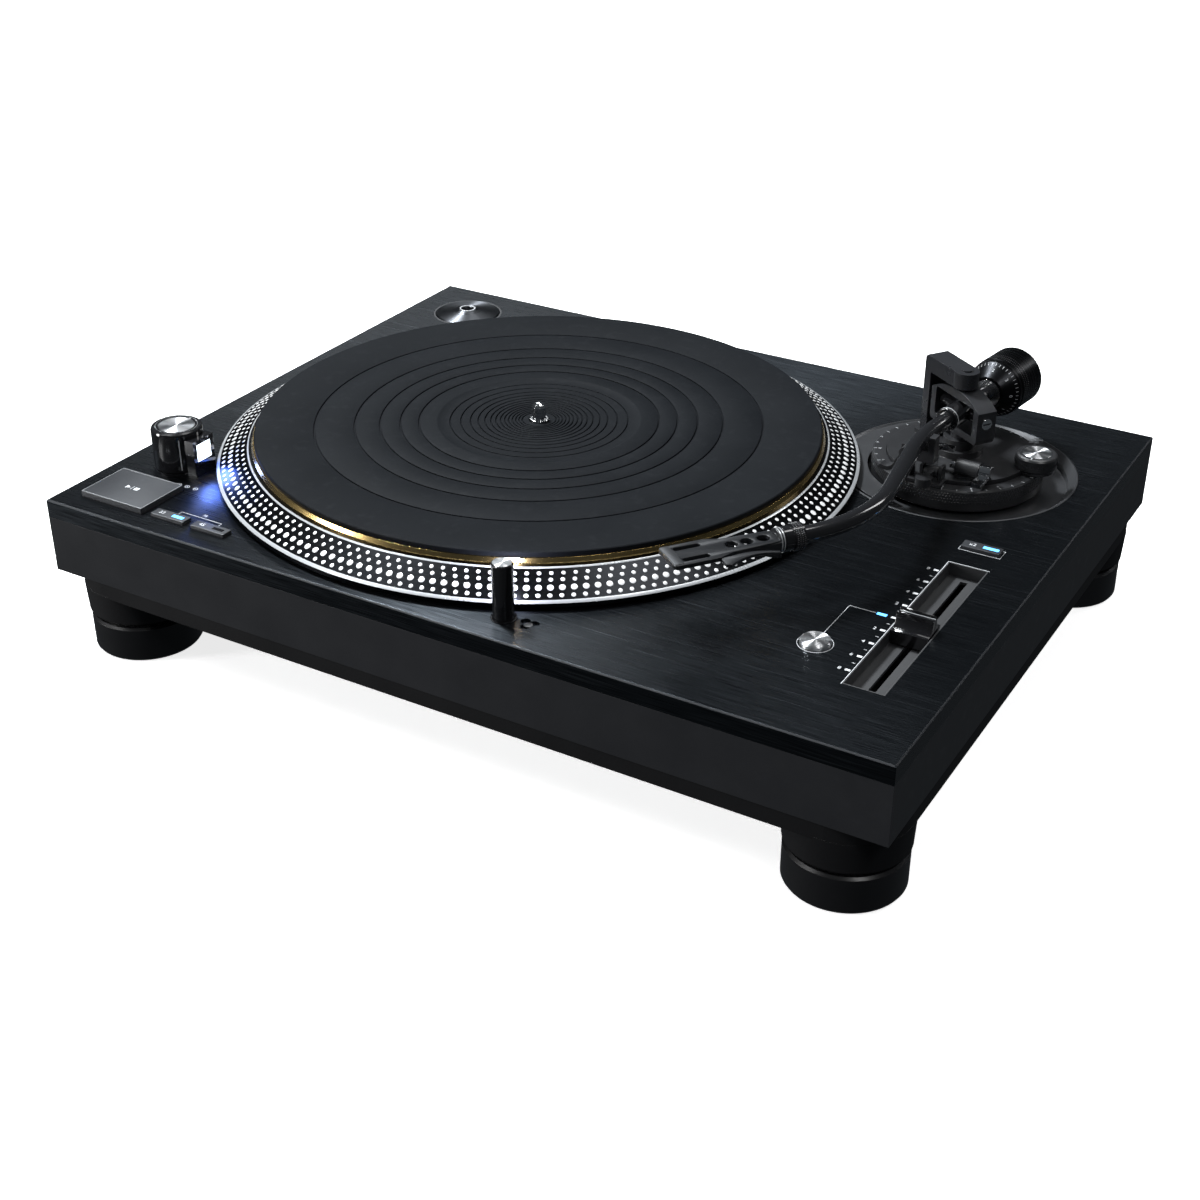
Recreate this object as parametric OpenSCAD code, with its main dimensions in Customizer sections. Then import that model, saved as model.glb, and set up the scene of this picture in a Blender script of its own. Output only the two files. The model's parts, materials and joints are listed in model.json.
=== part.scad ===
// Direct-drive turntable record player with an S-shaped tonearm.
// Origin: centre of the footprint, at the height of the surface it stands on.
// +X points right, +Y points to the rear terminals, +Z points up.

/* [Body] */
// Width of the deck
body_w = 453; // [440:1:480]
// Depth of the deck
body_d = 353; // [345:1:380]
// Height of the deck's upper surface above the floor
deck_z = 85; // [80:1:100]
// Thickness of the aluminium top panel
panel_t = 9.6; // [8:0.2:12]
// Height of the cast chassis under the panel
chassis_h = 29.9; // [26:0.1:36]
// Thickness of the moulded bottom cover
base_t = 8.5; // [6:0.5:10]
// Corner radius of the bottom cover, seen from above
base_corner_r = 28; // [10:1:40]

/* [Feet] */
// Outer radius of a foot
foot_r = 27.5; // [20:0.5:28]
// Height of a foot's barrel
foot_h = 20; // [16:0.5:22]
// Distance from the sides of the deck to the centre of a foot
foot_inset = 29; // [28.5:0.5:45]
// Radius of a foot's levelling stud
foot_stud_r = 5; // [4:0.5:8]

/* [Platter] */
// Platter axis, measured from the middle of the deck in X
platter_x = -44.6; // [-50:0.1:-35]
// Platter axis, measured from the middle of the deck in Y
platter_y = -5; // [-8:0.1:0]
// Outer radius of the platter
platter_r = 166; // [150:0.5:167]
// Radius of the brass disc
disc_r = 147.6; // [130:0.2:147.6]
// Radius of the rubber mat
mat_r = 146; // [130:0.2:146.4]
// Thickness of the rubber mat
mat_t = 2.5; // [2:0.1:4]
// Radius of the record spindle
spindle_r = 3.58; // [3.5:0.01:3.6]

/* [Controls] */
// Size of the start and stop button in X
start_w = 39.6; // [30:0.2:42]
// Size of the start and stop button in Y
start_d = 30.4; // [20:0.2:32]
// Travel of every push button
press = 1.5; // [1:0.1:2]
// Radius of the power knob
knob_r = 13.2; // [11:0.1:14]
// Height of the power knob above the deck
knob_h = 23; // [18:0.5:26]
// Length of the pitch slider's tray
tray_l = 122.4; // [110:0.2:125]
// Width of the pitch slider's tray
tray_w = 19.4; // [16:0.2:22]
// Radius of the pop-up lamp
lamp_r = 5; // [4:0.1:5]
// Height of the pop-up lamp above the deck
lamp_h = 28; // [20:1:32]

/* [Tonearm] */
// Tonearm pivot, measured from the middle of the deck in X
arm_x = 149.9; // [146:0.1:155]
// Tonearm pivot, measured from the middle of the deck in Y
arm_y = 88.2; // [85:0.1:95]
// Height of the arm tube's centre line above the deck
arm_z = 32.5; // [31:0.5:33.5]
// Radius of the arm tube
tube_r = 4.1; // [3.5:0.1:4.2]
// Outer radius of the height adjusting ring
ring_r = 43.5; // [42:0.5:44]
// Outer radius of the arm well
well_r = 61; // [58:0.5:61]
// Radius of the counterweight
weight_r = 15.3; // [13:0.1:15.5]
// Yaw of the gimbal, clockwise from above
gimbal_yaw = 35; // [30:1:40]
// Yaw of the headshell to the left of straight ahead
shell_yaw = 37; // [34:1:40]

/* [Hidden] */
$fn = 64;
eps = 0.01;
gap = 0.3;
run = 0.05;

panel_z = deck_z - panel_t;
chassis_z = panel_z - chassis_h;
base_z = chassis_z - base_t;
pod_z = foot_h + 3;
foot_x = body_w / 2 - foot_inset;
foot_y = body_d / 2 - foot_inset;
// Centres of the controls
start_pos = [-194.1, -149.4];
speed33_pos = [-159, -160.4];
speed45_pos = [-133.7, -160.4];
speed_size = [20.6, 6.2];
knob_pos = [-194.9, -112.7];
tray_pos = [193.2, -70.7];
slider_y = -74.6;
slider_l = 15;
reset_pos = [160.5, -108.1];
reset_r = 7;
range_pos = [192.8, 8.9];
range_size = [19.2, 6.8];
lamp_pos = [32.8, -158.3];
release_pos = [45.1, -157.2];
adaptor_pos = [-189.6, 142.3];
adaptor_r = 19.5;
// Platter heights above the deck
rim_low = 1;
rim_high = 3.8;
top_high = 13.4;
under_high = 5.8;
hub_low = 0.8;
disc_t = 3.2;
rotor_r = 57;
// Tonearm pieces, measured from the pivot
socket_r = 20;
carriage_r = ring_r - 7.3;
antiskate_pos = [40, 2];
rest_pos = [-13, -36.5];
cue_y = -37;
lift_y = -24.5;
lock_y = -27;
lever_z = 14;
gimbal_half = 20.5;
gimbal_deep = 5.5;
tail_yaw = 8;
bend1_r = 125;
mid_yaw = 9;
mid_l = 44;
bend2_r = 79;
shell_l = 53;
collar_l = 12.5;
clamp_open = 150;
clamp_pin = [-11.2, 24];
// X of the tube where it lies in its rest
tube_x = -4.5;

module at_platter() { translate([platter_x, platter_y, deck_z]) children(); }
module at_arm() { translate([arm_x, arm_y, deck_z]) children(); }
module on_deck(p) { translate([p[0], p[1], deck_z]) children(); }
module at_feet() {
    for (sx = [-1, 1], sy = [-1, 1])
        translate([sx * foot_x, sy * foot_y, 0]) children();
}
module block(w, d, h) { translate([-w / 2, -d / 2, 0]) cube([w, d, h]); }
// A ring or a disc between two heights
module ring(r, z0, z1, bore = 0) {
    difference() {
        translate([0, 0, z0]) cylinder(r = r, h = z1 - z0, $fn = 96);
        if (bore > 0)
            translate([0, 0, z0 - 1]) cylinder(r = bore, h = z1 - z0 + 2, $fn = 96);
    }
}
// A plate with round corners, built from two bars and four discs
module round_plate(w, d, h, r) {
    block(w - 2 * r, d, h);
    block(w, d - 2 * r, h);
    for (sx = [-1, 1], sy = [-1, 1])
        translate([sx * (w / 2 - r), sy * (d / 2 - r), 0]) cylinder(r = r, h = h);
}
// A bevelled box for a button cap
module cap(w, d, low, high) {
    difference() {
        translate([0, 0, low]) block(w, d, high - low);
        for (s = [-1, 1]) {
            translate([s * w / 2, 0, high]) rotate([0, 45, 0]) cube([0.8, d + 2, 0.8], center = true);
            translate([0, s * d / 2, high]) rotate([45, 0, 0]) cube([w + 2, 0.8, 0.8], center = true);
        }
    }
}
module trefoil(r, h) {
    for (a = [90, 210, 330])
        rotate([0, 0, a]) translate([-2.7, 0, 0]) cylinder(r = r, h = h);
}

// Casing
module panel_cutouts() {
    at_platter() translate([0, 0, -panel_t - 1]) cylinder(r = 62, h = panel_t + 2, $fn = 96);
    at_arm() translate([0, 0, -panel_t - 1]) cylinder(r = well_r + gap, h = panel_t + 2, $fn = 96);
    on_deck(start_pos) translate([0, 0, -panel_t - 1]) block(start_w + 0.8, start_d + 0.8, panel_t + 2);
    for (p = [speed33_pos, speed45_pos])
        on_deck(p) translate([0, 0, -panel_t - 1]) block(speed_size[0] + 0.8, speed_size[1] + 0.8, panel_t + 2);
    on_deck(range_pos) translate([0, 0, -panel_t - 1]) block(range_size[0] + 0.8, range_size[1] + 0.8, panel_t + 2);
    on_deck(tray_pos) translate([0, 0, -panel_t - 1]) block(tray_w + 0.2, tray_l + 0.2, panel_t + 2);
    on_deck(reset_pos) translate([0, 0, -panel_t - 1]) cylinder(r = reset_r + 0.4, h = panel_t + 2);
    on_deck(knob_pos) translate([0, 0, -panel_t - 1]) cylinder(r = 4.2, h = panel_t + 2);
    on_deck(lamp_pos) translate([0, 0, -panel_t - 1]) cylinder(r = lamp_r + 0.6, h = panel_t + 2);
    on_deck(release_pos) translate([0, 0, -1.6]) trefoil(2.3, 3);
    on_deck(release_pos) translate([0, 0, -panel_t - 1]) cylinder(r = 2.3, h = panel_t + 2);
    on_deck(adaptor_pos) translate([0, 0, -5]) cylinder(r = adaptor_r + 1.5, h = 6, $fn = 96);
}
module top_panel() {
    color([0.10, 0.10, 0.11])
    difference() {
        translate([0, 0, panel_z]) block(body_w, body_d, panel_t);
        panel_cutouts();
        for (s = [-1, 1]) {
            translate([s * body_w / 2, 0, deck_z]) rotate([0, 45, 0]) cube([1, body_d + 2, 1], center = true);
            translate([0, s * body_d / 2, deck_z]) rotate([45, 0, 0]) cube([body_w + 2, 1, 1], center = true);
        }
    }
}
module chassis() {
    pocket_h = 20;
    side_t = 10;
    front_t = 14;
    rear_t = 23;
    floor_t = 5;
    rib_t = 6;
    color([0.08, 0.08, 0.09])
    difference() {
        translate([0, 0, chassis_z]) block(body_w, body_d, chassis_h);
        // Hollow inside the walls, with bosses and ribs left standing
        difference() {
            translate([0, (front_t - rear_t) / 2, chassis_z + floor_t])
                block(body_w - 2 * side_t, body_d - front_t - rear_t, chassis_h);
            at_platter() translate([0, 0, -60]) cylinder(r = 80, h = 60, $fn = 96);
            at_arm() translate([0, 0, -60]) cylinder(r = 64, h = 60, $fn = 96);
            translate([platter_x, 0, 0]) block(rib_t, body_d, deck_z);
            for (y = [platter_y, -95]) translate([0, y, 0]) block(body_w, rib_t, deck_z);
        }
        at_platter() translate([0, 0, -60]) cylinder(r = 64, h = 60, $fn = 96);
        at_arm() translate([0, 0, -60]) cylinder(r = 50, h = 60, $fn = 96);
        // Electronics bay behind the left controls
        translate([-166, 55, chassis_z - 1]) block(88, 96, chassis_h + 2);
        // Space under the left buttons and the knob
        translate([-163, -132, panel_z - pocket_h]) block(106, 76, pocket_h + 1);
        // Space under the slider, the range button and the reset button
        translate([tray_pos[0], -62, panel_z - pocket_h]) block(26, 158, pocket_h + 1);
        translate([reset_pos[0], reset_pos[1], panel_z - pocket_h]) cylinder(r = 10, h = pocket_h + 1);
        translate([39, -158, panel_z - 27]) block(30, 24, 28);
        // Rear bay for the terminals, deeper behind the mains inlet
        translate([30, body_d / 2 - 8, chassis_z + 4]) block(150, 18, chassis_h - 8);
        translate([80, body_d / 2 - 13, chassis_z + 4]) block(31, 24, chassis_h - 8);
        base_screw_places() translate([0, 0, -1]) cylinder(r = 1.6, h = 13);
    }
}
module base_screw_places() {
    for (x = [-150, -50, 50, 150], s = [-1, 1])
        translate([x, s * (body_d / 2 - 8), chassis_z]) children();
}
module base_cover() {
    color([0.03, 0.03, 0.035])
    difference() {
        union() {
            translate([0, 0, base_z]) round_plate(body_w - 1, body_d - 1, base_t, base_corner_r);
            at_feet() translate([0, 0, pod_z]) cylinder(r1 = foot_r + 0.6, r2 = foot_r + 1.3, h = base_z - pod_z + 1);
        }
        at_feet() translate([0, 0, pod_z - 1]) cylinder(r = foot_stud_r + run, h = 20);
        base_screw_places() translate([0, 0, -base_t - 1]) cylinder(r = 1.6, h = base_t + 2);
        base_screw_places() translate([0, 0, -base_t - 1]) cylinder(r = 3.4, h = 3.4);
    }
}
module base_screws() {
    color([0.6, 0.6, 0.6])
    base_screw_places() difference() {
        union() {
            translate([0, 0, -base_t + 0.4]) cylinder(r = 3.1, h = 2);
            translate([0, 0, -base_t + 2]) cylinder(r = 1.55, h = base_t + 8);
        }
        translate([0, 0, -base_t + 0.3]) cylinder(r = 1.4, h = 1.2, $fn = 6);
    }
}
module foot() {
    color([0.06, 0.06, 0.065])
    rotate_extrude($fn = 96) polygon([
        [0, 0], [foot_r - 3, 0], [foot_r - 0.8, 1.2], [foot_r, 2.4], [foot_r, foot_h - 1.2],
        [foot_r - 1.2, foot_h], [foot_r - 3.5, foot_h], [foot_r - 3.5, pod_z - gap],
        [foot_stud_r, pod_z - gap], [foot_stud_r, pod_z + 15], [0, pod_z + 15]]);
}
module foot_at(sx, sy) { translate([sx * foot_x, sy * foot_y, 0]) foot(); }
module foot_front_left() { foot_at(-1, -1); }
module foot_front_right() { foot_at(1, -1); }
module foot_rear_left() { foot_at(-1, 1); }
module foot_rear_right() { foot_at(1, 1); }

// Electronics and terminals
module power_supply() {
    color([0.65, 0.66, 0.68])
    translate([-180, 55, chassis_z]) {
        block(44, 84, 3);
        translate([0, -20, 3]) block(36, 34, 20);
        for (y = [8, 24]) translate([0, y, 3]) cylinder(r = 7, h = 18);
    }
}
module control_board() {
    color([0.05, 0.25, 0.12])
    translate([-139, 55, chassis_z]) {
        block(30, 84, 2);
        for (y = [-28, -6, 18]) translate([0, y, 2]) block(14, 12, 3);
        for (y = [-17, 6, 30]) translate([6, y, 2]) cylinder(r = 3, h = 9);
    }
}
module at_terminals() { translate([30, body_d / 2 - 12, chassis_z + chassis_h / 2]) children(); }
module terminal_plate() {
    color([0.07, 0.07, 0.08])
    at_terminals() difference() {
        translate([-75, -5, -10.9]) cube([150, 3, 21.8]);
        for (x = [-52, -32]) translate([x, 0, 0]) rotate([90, 0, 0]) cylinder(r = 4.15, h = 12, center = true);
        translate([-12, 0, 0]) rotate([90, 0, 0]) cylinder(r = 2, h = 12, center = true);
        translate([50, 0, 0]) cube([30, 12, 20], center = true);
    }
}
module phono_jacks() {
    color([0.85, 0.68, 0.3])
    at_terminals() for (x = [-52, -32]) translate([x, 0, 0]) rotate([-90, 0, 0]) difference() {
        union() {
            translate([0, 0, -5]) cylinder(r = 4.15, h = 14);
            translate([0, 0, -2]) cylinder(r = 5.6, h = 1.6, $fn = 6);
        }
        translate([0, 0, -1]) cylinder(r = 1.65, h = 11);
    }
}
module ground_terminal() {
    color([0.8, 0.8, 0.8])
    at_terminals() translate([-12, 0, 0]) rotate([-90, 0, 0]) {
        translate([0, 0, -5]) cylinder(r = 2, h = 4);
        translate([0, 0, -2]) cylinder(r = 5, h = 2);
        translate([0, 0, -0.2]) cylinder(r = 3.8, h = 7.5);
    }
}
module mains_inlet() {
    color([0.05, 0.05, 0.05])
    at_terminals() translate([50, 0, 0]) {
        difference() {
            translate([-15, -10, -10]) cube([30, 18, 20]);
            translate([-12, -8, -8]) cube([24, 18, 16]);
        }
        for (x = [-7, 0, 7]) translate([x - 1, -8 - eps, x == 0 ? -2 : 1]) cube([2, 9, 4]);
    }
}

// Direct-drive motor
module motor_board() {
    color([0.05, 0.25, 0.12]) at_platter() ring(60, -35, -33, 11.5);
}
module motor_coils() {
    color([0.72, 0.42, 0.2])
    at_platter() for (a = [0 : 40 : 320])
        rotate([0, 0, a]) translate([42, 0, 0]) ring(12, -33, -27.5, 4);
}
module bearing_sleeve() {
    color([0.7, 0.6, 0.35])
    at_platter() difference() {
        union() {
            ring(11.2, -39, -13);
            ring(24, -39, -36);
        }
        translate([0, 0, -37]) cylinder(r = 5 + run, h = 40);
    }
}
module rotor() {
    color([0.55, 0.56, 0.58]) at_platter() {
        ring(rotor_r, -11, -7.5, 5);
        ring(16, -7.5 - eps, hub_low, 5);
    }
}
module rotor_magnet() {
    color([0.25, 0.25, 0.27]) at_platter() ring(rotor_r - 1, -19, -11, 30);
}
module spindle() {
    top = top_high + disc_t + mat_t;
    color([0.85, 0.85, 0.86])
    at_platter() rotate_extrude($fn = 96) polygon([
        [0, -36.5], [5, -36.5], [5, top - 0.05], [spindle_r, top - 0.05],
        [spindle_r, top + 6.6], [2.8, top + 8], [1.6, top + 8.8], [0, top + 9]]);
}

// Platter
module platter() {
    color([0.75, 0.75, 0.76])
    at_platter() rotate_extrude($fn = 128) polygon([
        [5, hub_low], [18, hub_low], [18, under_high], [platter_r - 18, under_high],
        [platter_r - 15, rim_low],
        [platter_r - 1, rim_low], [platter_r, rim_low + 0.8], [platter_r, rim_high],
        [disc_r + 1.4, top_high], [5, top_high]]);
}
module platter_damper() {
    color([0.05, 0.05, 0.05]) at_platter() ring(platter_r - 20, under_high - 3.5, under_high, 60);
}
module brass_disc() {
    color([0.78, 0.62, 0.3])
    at_platter() rotate_extrude($fn = 128) polygon([
        [5, top_high], [disc_r, top_high], [disc_r, top_high + 1.2],
        [disc_r - 0.9, top_high + disc_t], [5, top_high + disc_t]]);
}
module rubber_mat() {
    low = top_high + disc_t;
    color([0.07, 0.07, 0.075])
    at_platter() rotate_extrude($fn = 128) polygon([
        [5.3, low], [mat_r, low], [mat_r, low + mat_t - 0.6], [mat_r - 0.6, low + mat_t],
        [52, low + mat_t], [51, low + mat_t - 0.5], [5.3, low + mat_t - 0.5]]);
}

// Left controls
module strobe_housing() {
    color([0.05, 0.05, 0.055])
    on_deck(knob_pos) difference() {
        union() {
            cylinder(r = knob_r + 0.3, h = 1.2);
            translate([8, -7.5, 0]) cube([9, 15, knob_h - 3.5]);
        }
        translate([0, 0, 1.2]) cylinder(r = knob_r + gap, h = knob_h);
        translate([15.6, -5, 8]) cube([3, 10, 9]);
        translate([0, 0, -1]) cylinder(r = 4.1, h = 4);
    }
}
module strobe_window() {
    color([0.8, 0.9, 1.0]) on_deck(knob_pos) translate([15.6, -5, 8]) cube([1.2, 10, 9]);
}
module power_knob() {
    color([0.06, 0.06, 0.065])
    on_deck(knob_pos) difference() {
        rotate_extrude($fn = 96) polygon([
            [0, -16], [4 + run, -16], [4 + run, 1.6], [knob_r, 1.6], [knob_r, knob_h - 1.4],
            [knob_r - 0.4, knob_h - 0.5], [knob_r - 1.4, knob_h], [9.6, knob_h],
            [9.4, knob_h - 0.5], [0, knob_h - 0.5]]);
        rotate([0, 0, 45]) translate([-0.3, -knob_r - 0.5, 3]) cube([0.6, 0.8, knob_h - 6]);
    }
}
module start_stop_button() {
    color([0.18, 0.18, 0.19]) on_deck(start_pos) cap(start_w, start_d, -8, 3);
}
module speed_33_button() {
    color([0.3, 0.3, 0.31]) on_deck(speed33_pos) cap(speed_size[0], speed_size[1], -8, 1.8);
}
module speed_45_button() {
    color([0.3, 0.3, 0.31]) on_deck(speed45_pos) cap(speed_size[0], speed_size[1], -8, 1.8);
}

// Right and front controls
module pitch_range_button() {
    color([0.3, 0.3, 0.31]) on_deck(range_pos) cap(range_size[0], range_size[1], -8, 1.8);
}
module pitch_reset_button() {
    color([0.6, 0.6, 0.62])
    on_deck(reset_pos) rotate_extrude() polygon([
        [0, -8], [reset_r, -8], [reset_r, 1.6], [reset_r - 0.5, 2.2], [0, 2.2]]);
}
module lamp_release_button() {
    color([0.05, 0.05, 0.05]) on_deck(release_pos) translate([0, 0, -12]) cylinder(r = 2, h = 11.6);
}
module lamp_collar() {
    color([0.12, 0.12, 0.13]) on_deck(lamp_pos) {
        ring(lamp_r + 0.6, -34, 0, lamp_r + 0.2);
        ring(lamp_r + 1, 0, 0.6, lamp_r + 0.2);
    }
}
module target_lamp() {
    color([0.04, 0.04, 0.045])
    on_deck(lamp_pos) difference() {
        rotate_extrude() polygon([
            [0, -6], [lamp_r, -6], [lamp_r, lamp_h - 0.5], [lamp_r - 0.5, lamp_h], [0, lamp_h]]);
        // Lamp window, which faces the platter
        rotate([0, 0, 27]) translate([-4, lamp_r - 1.4, lamp_h - 9]) cube([8, 4, 5]);
    }
}
module pitch_tray() {
    depth = 6.5;
    color([0.03, 0.03, 0.03])
    on_deck(tray_pos) difference() {
        translate([0, 0, -depth - 1.5]) block(tray_w, tray_l, depth + 1.5);
        translate([0, 0, -depth]) block(tray_w - 1.2, tray_l - 1.2, depth + 1);
        translate([0, 0, -depth - 3]) block(3.4, tray_l - 8, 5);
    }
}
module pitch_slider() {
    w = tray_w - 2;
    color([0.12, 0.12, 0.13])
    translate([tray_pos[0], slider_y, deck_z]) {
        difference() {
            translate([-w / 2, -slider_l / 2, -5.8]) cube([w, slider_l, 12]);
            // Concave finger faces in front and behind
            for (s = [-1, 1])
                translate([0, s * (slider_l / 2 + 5), 7.5]) rotate([0, 90, 0])
                    cylinder(r = 10.2, h = w + 2, center = true);
        }
        translate([-w / 2, -1.7, 0]) cube([w, 3.4, 6.5]);
        translate([-1.2, -2, -20]) cube([2.4, 4, 16]);
    }
}

// Adaptor for records with a large centre hole
module adaptor_cup() {
    color([0.1, 0.1, 0.1]) on_deck(adaptor_pos) {
        ring(adaptor_r + 1.4, -5, -4);
        ring(adaptor_r + 1.4, -4 - eps, 0, adaptor_r + 0.4);
        ring(spindle_r - 0.1, -4 - eps, -1);
    }
}
module record_adaptor() {
    color([0.3, 0.3, 0.31])
    on_deck(adaptor_pos) rotate_extrude($fn = 96) polygon([
        [spindle_r + 0.05, -3.9], [adaptor_r, -3.9], [adaptor_r, 0.1], [adaptor_r - 0.6, 0.6],
        [9, 2.0], [6.5, 2.8], [spindle_r + 0.4, 2.8], [spindle_r + 0.05, 2.4]]);
}

// Tonearm base
module arm_well() {
    color([0.12, 0.12, 0.13])
    at_arm() rotate_extrude($fn = 128) polygon([
        [26, -panel_t], [well_r, -panel_t], [well_r, 0], [well_r - 0.8, 0.15],
        [well_r - 4.6, -3.4], [well_r - 5.4, -6], [26, -6]]);
}
module well_plate() {
    r_in = ring_r + 2;
    r_out = well_r - 2.6;
    color([0.22, 0.22, 0.23])
    at_arm() {
        rotate([0, 0, 118]) rotate_extrude(angle = 133, $fn = 128) polygon([
            [r_in, -1.3], [r_out, -1.3], [r_out, -0.1], [r_in, -0.1]]);
        for (a = [130, 185, 240])
            rotate([0, 0, a]) translate([(r_in + r_out) / 2, 0, -6]) cylinder(r = 2.5, h = 4.8);
    }
}
module arm_socket() {
    color([0.5, 0.5, 0.52]) at_arm() {
        ring(26, -30, -6, socket_r + run);
        ring(34, -12.5, -panel_t, 25.9);
    }
}
module height_ring() {
    color([0.09, 0.09, 0.095])
    at_arm() rotate_extrude($fn = 128) polygon([
        [carriage_r + gap, -4], [ring_r - 0.6, -4], [ring_r, -3.4], [ring_r, 6.6],
        [ring_r - 0.8, 7.4], [carriage_r + gap, 7.4]]);
}
module arm_base() {
    shelf_z = 7.9;
    color([0.08, 0.08, 0.085])
    at_arm() difference() {
        union() {
            ring(socket_r, -28, 0);
            ring(carriage_r, -3, 9.5);
            ring(12, 9.5 - eps, 13);
            ring(8.5, 13 - eps, 18);
            translate([antiskate_pos[0], antiskate_pos[1], shelf_z]) cylinder(r = 9.5, h = 1.6);
            translate([28, -7, shelf_z]) cube([12, 17, 1.6]);
            // Shelf for the arm rest and the cueing lever
            translate([-17, -43, shelf_z]) cube([24, 14, 1.6]);
            for (x = [-5.6, 4.2]) translate([x, cue_y - 3, 9]) cube([1.6, 6, 8]);
            // Bearing block of the locking lever
            translate([9, lock_y, lever_z]) rotate([0, 90, 0]) cylinder(r = 4.2, h = 12);
            translate([9, lock_y - 3, 9]) cube([12, 6, 4]);
            // Foot of the pivot bracket
            rotate([0, 0, -gimbal_yaw]) translate([-29, -8, 9]) cube([10, 16, 3]);
        }
        translate([0, 0, -29]) cylinder(r = 5 + run, h = 60);
        translate([antiskate_pos[0], antiskate_pos[1], 0]) cylinder(r = 2.5, h = 12);
        translate([8, lock_y, lever_z]) rotate([0, 90, 0]) cylinder(r = 2.5 + run, h = 14);
        translate([-6, cue_y, 13.5]) rotate([0, 90, 0]) cylinder(r = 1.5 + run, h = 13);
        translate([-3, lift_y, -4]) cylinder(r = 1.5 + run, h = 16);
    }
}
module antiskate_knob() {
    color([0.1, 0.1, 0.1])
    at_arm() translate([antiskate_pos[0], antiskate_pos[1], 0]) rotate_extrude() polygon([
        [0, 8.2], [2.45, 8.2], [2.45, 9.8], [10, 9.8], [10.5, 10.3], [10.5, 15.8],
        [9.9, 16.6], [9, 17], [0, 17]]);
}
module lock_lever() {
    color([0.7, 0.7, 0.72])
    at_arm() translate([0, lock_y, lever_z]) {
        translate([6, 0, 0]) rotate([0, 90, 0]) cylinder(r = 2.5, h = 20);
        translate([21.4, 0, 0]) rotate([0, 90, 0]) cylinder(r = 3.6, h = 5.6);
        translate([21.6, -14, -2.5]) cube([5, 13, 2.2]);
    }
}
module cue_lever() {
    color([0.07, 0.07, 0.075])
    at_arm() translate([0, cue_y, 13.5]) {
        translate([-5.6, 0, 0]) rotate([0, 90, 0]) cylinder(r = 1.5, h = 11.4);
        translate([-3.6, 0, 0]) rotate([0, 90, 0]) cylinder(r = 3, h = 7.2);
        translate([-1.2, -12, -1.5]) cube([2.8, 12, 3]);
        translate([0.2, -12.5, -2.4]) cylinder(r = 4, h = 4.2);
    }
}
module lift_platform() {
    color([0.5, 0.5, 0.52])
    at_arm() translate([-3, lift_y, 0]) {
        translate([0, 0, -1]) cylinder(r = 1.5, h = 23);
        translate([-11, -2, 20.4]) cube([20, 4, 2]);
    }
}
module arm_rest() {
    color([0.06, 0.06, 0.065])
    at_arm() difference() {
        union() {
            translate([rest_pos[0], rest_pos[1], 9.5]) cylinder(r1 = 4, r2 = 2.4, h = 13);
            translate([rest_pos[0] - 2.6, -47.5, 22]) cube([16, 13, 4.2]);
            translate([-6.5, -47.5, 22]) cube([10.2, 6, 6.1]);
            translate([0.6, -47.5, 22]) cube([3.1, 6, 13.5]);
        }
        translate([tube_x, -45, arm_z]) rotate([90, 0, 1.5])
            cylinder(r = tube_r + gap, h = 20, center = true);
        // Open corner in which the clamp swings
        translate([rest_pos[0] - 4, -49, 21]) cube([clamp_pin[0] - rest_pos[0] + 8.2, 8, 8]);
    }
    color([0.5, 0.5, 0.5])
    at_arm() translate([clamp_pin[0], -39.5, clamp_pin[1]]) rotate([90, 0, 0]) cylinder(r = 1.2, h = 8.4);
}
// Swinging hook: drawn closed over the tube, then opened
module arm_clamp() {
    from_pin = [tube_x - clamp_pin[0], arm_z - clamp_pin[1]];
    color([0.06, 0.06, 0.065])
    at_arm() translate([clamp_pin[0], -44.5, clamp_pin[1]]) rotate([0, -clamp_open, 0])
    rotate([90, 0, 0]) linear_extrude(height = 5, center = true) difference() {
        union() {
            circle(r = 3.4);
            translate(from_pin) intersection() {
                circle(r = 7);
                translate([-7, -1.5]) square([7.2, 9]);
            }
            translate([-0.8, 0]) square([3, 8]);
        }
        circle(r = 1.2 + run);
        translate(from_pin) circle(r = 4.9);
    }
}
module pivot_bracket() {
    top_z = 53.5;
    low_z = 45.2;
    color([0.1, 0.1, 0.105])
    at_arm() {
        rotate([0, 0, -gimbal_yaw]) {
            translate([0, 6, 0]) rotate([90, 0, 0]) linear_extrude(height = 12) polygon([
                [-27.4, 12], [-22, 12], [-22, low_z], [0, low_z], [0, top_z],
                [-25.9, top_z], [-27.4, top_z - 1.5]]);
        }
        translate([0, 0, low_z]) cylinder(r = 6.4, h = top_z - low_z);
        translate([0, 0, top_z - eps]) cylinder(r = 3, h = 0.8);
    }
}

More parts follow.
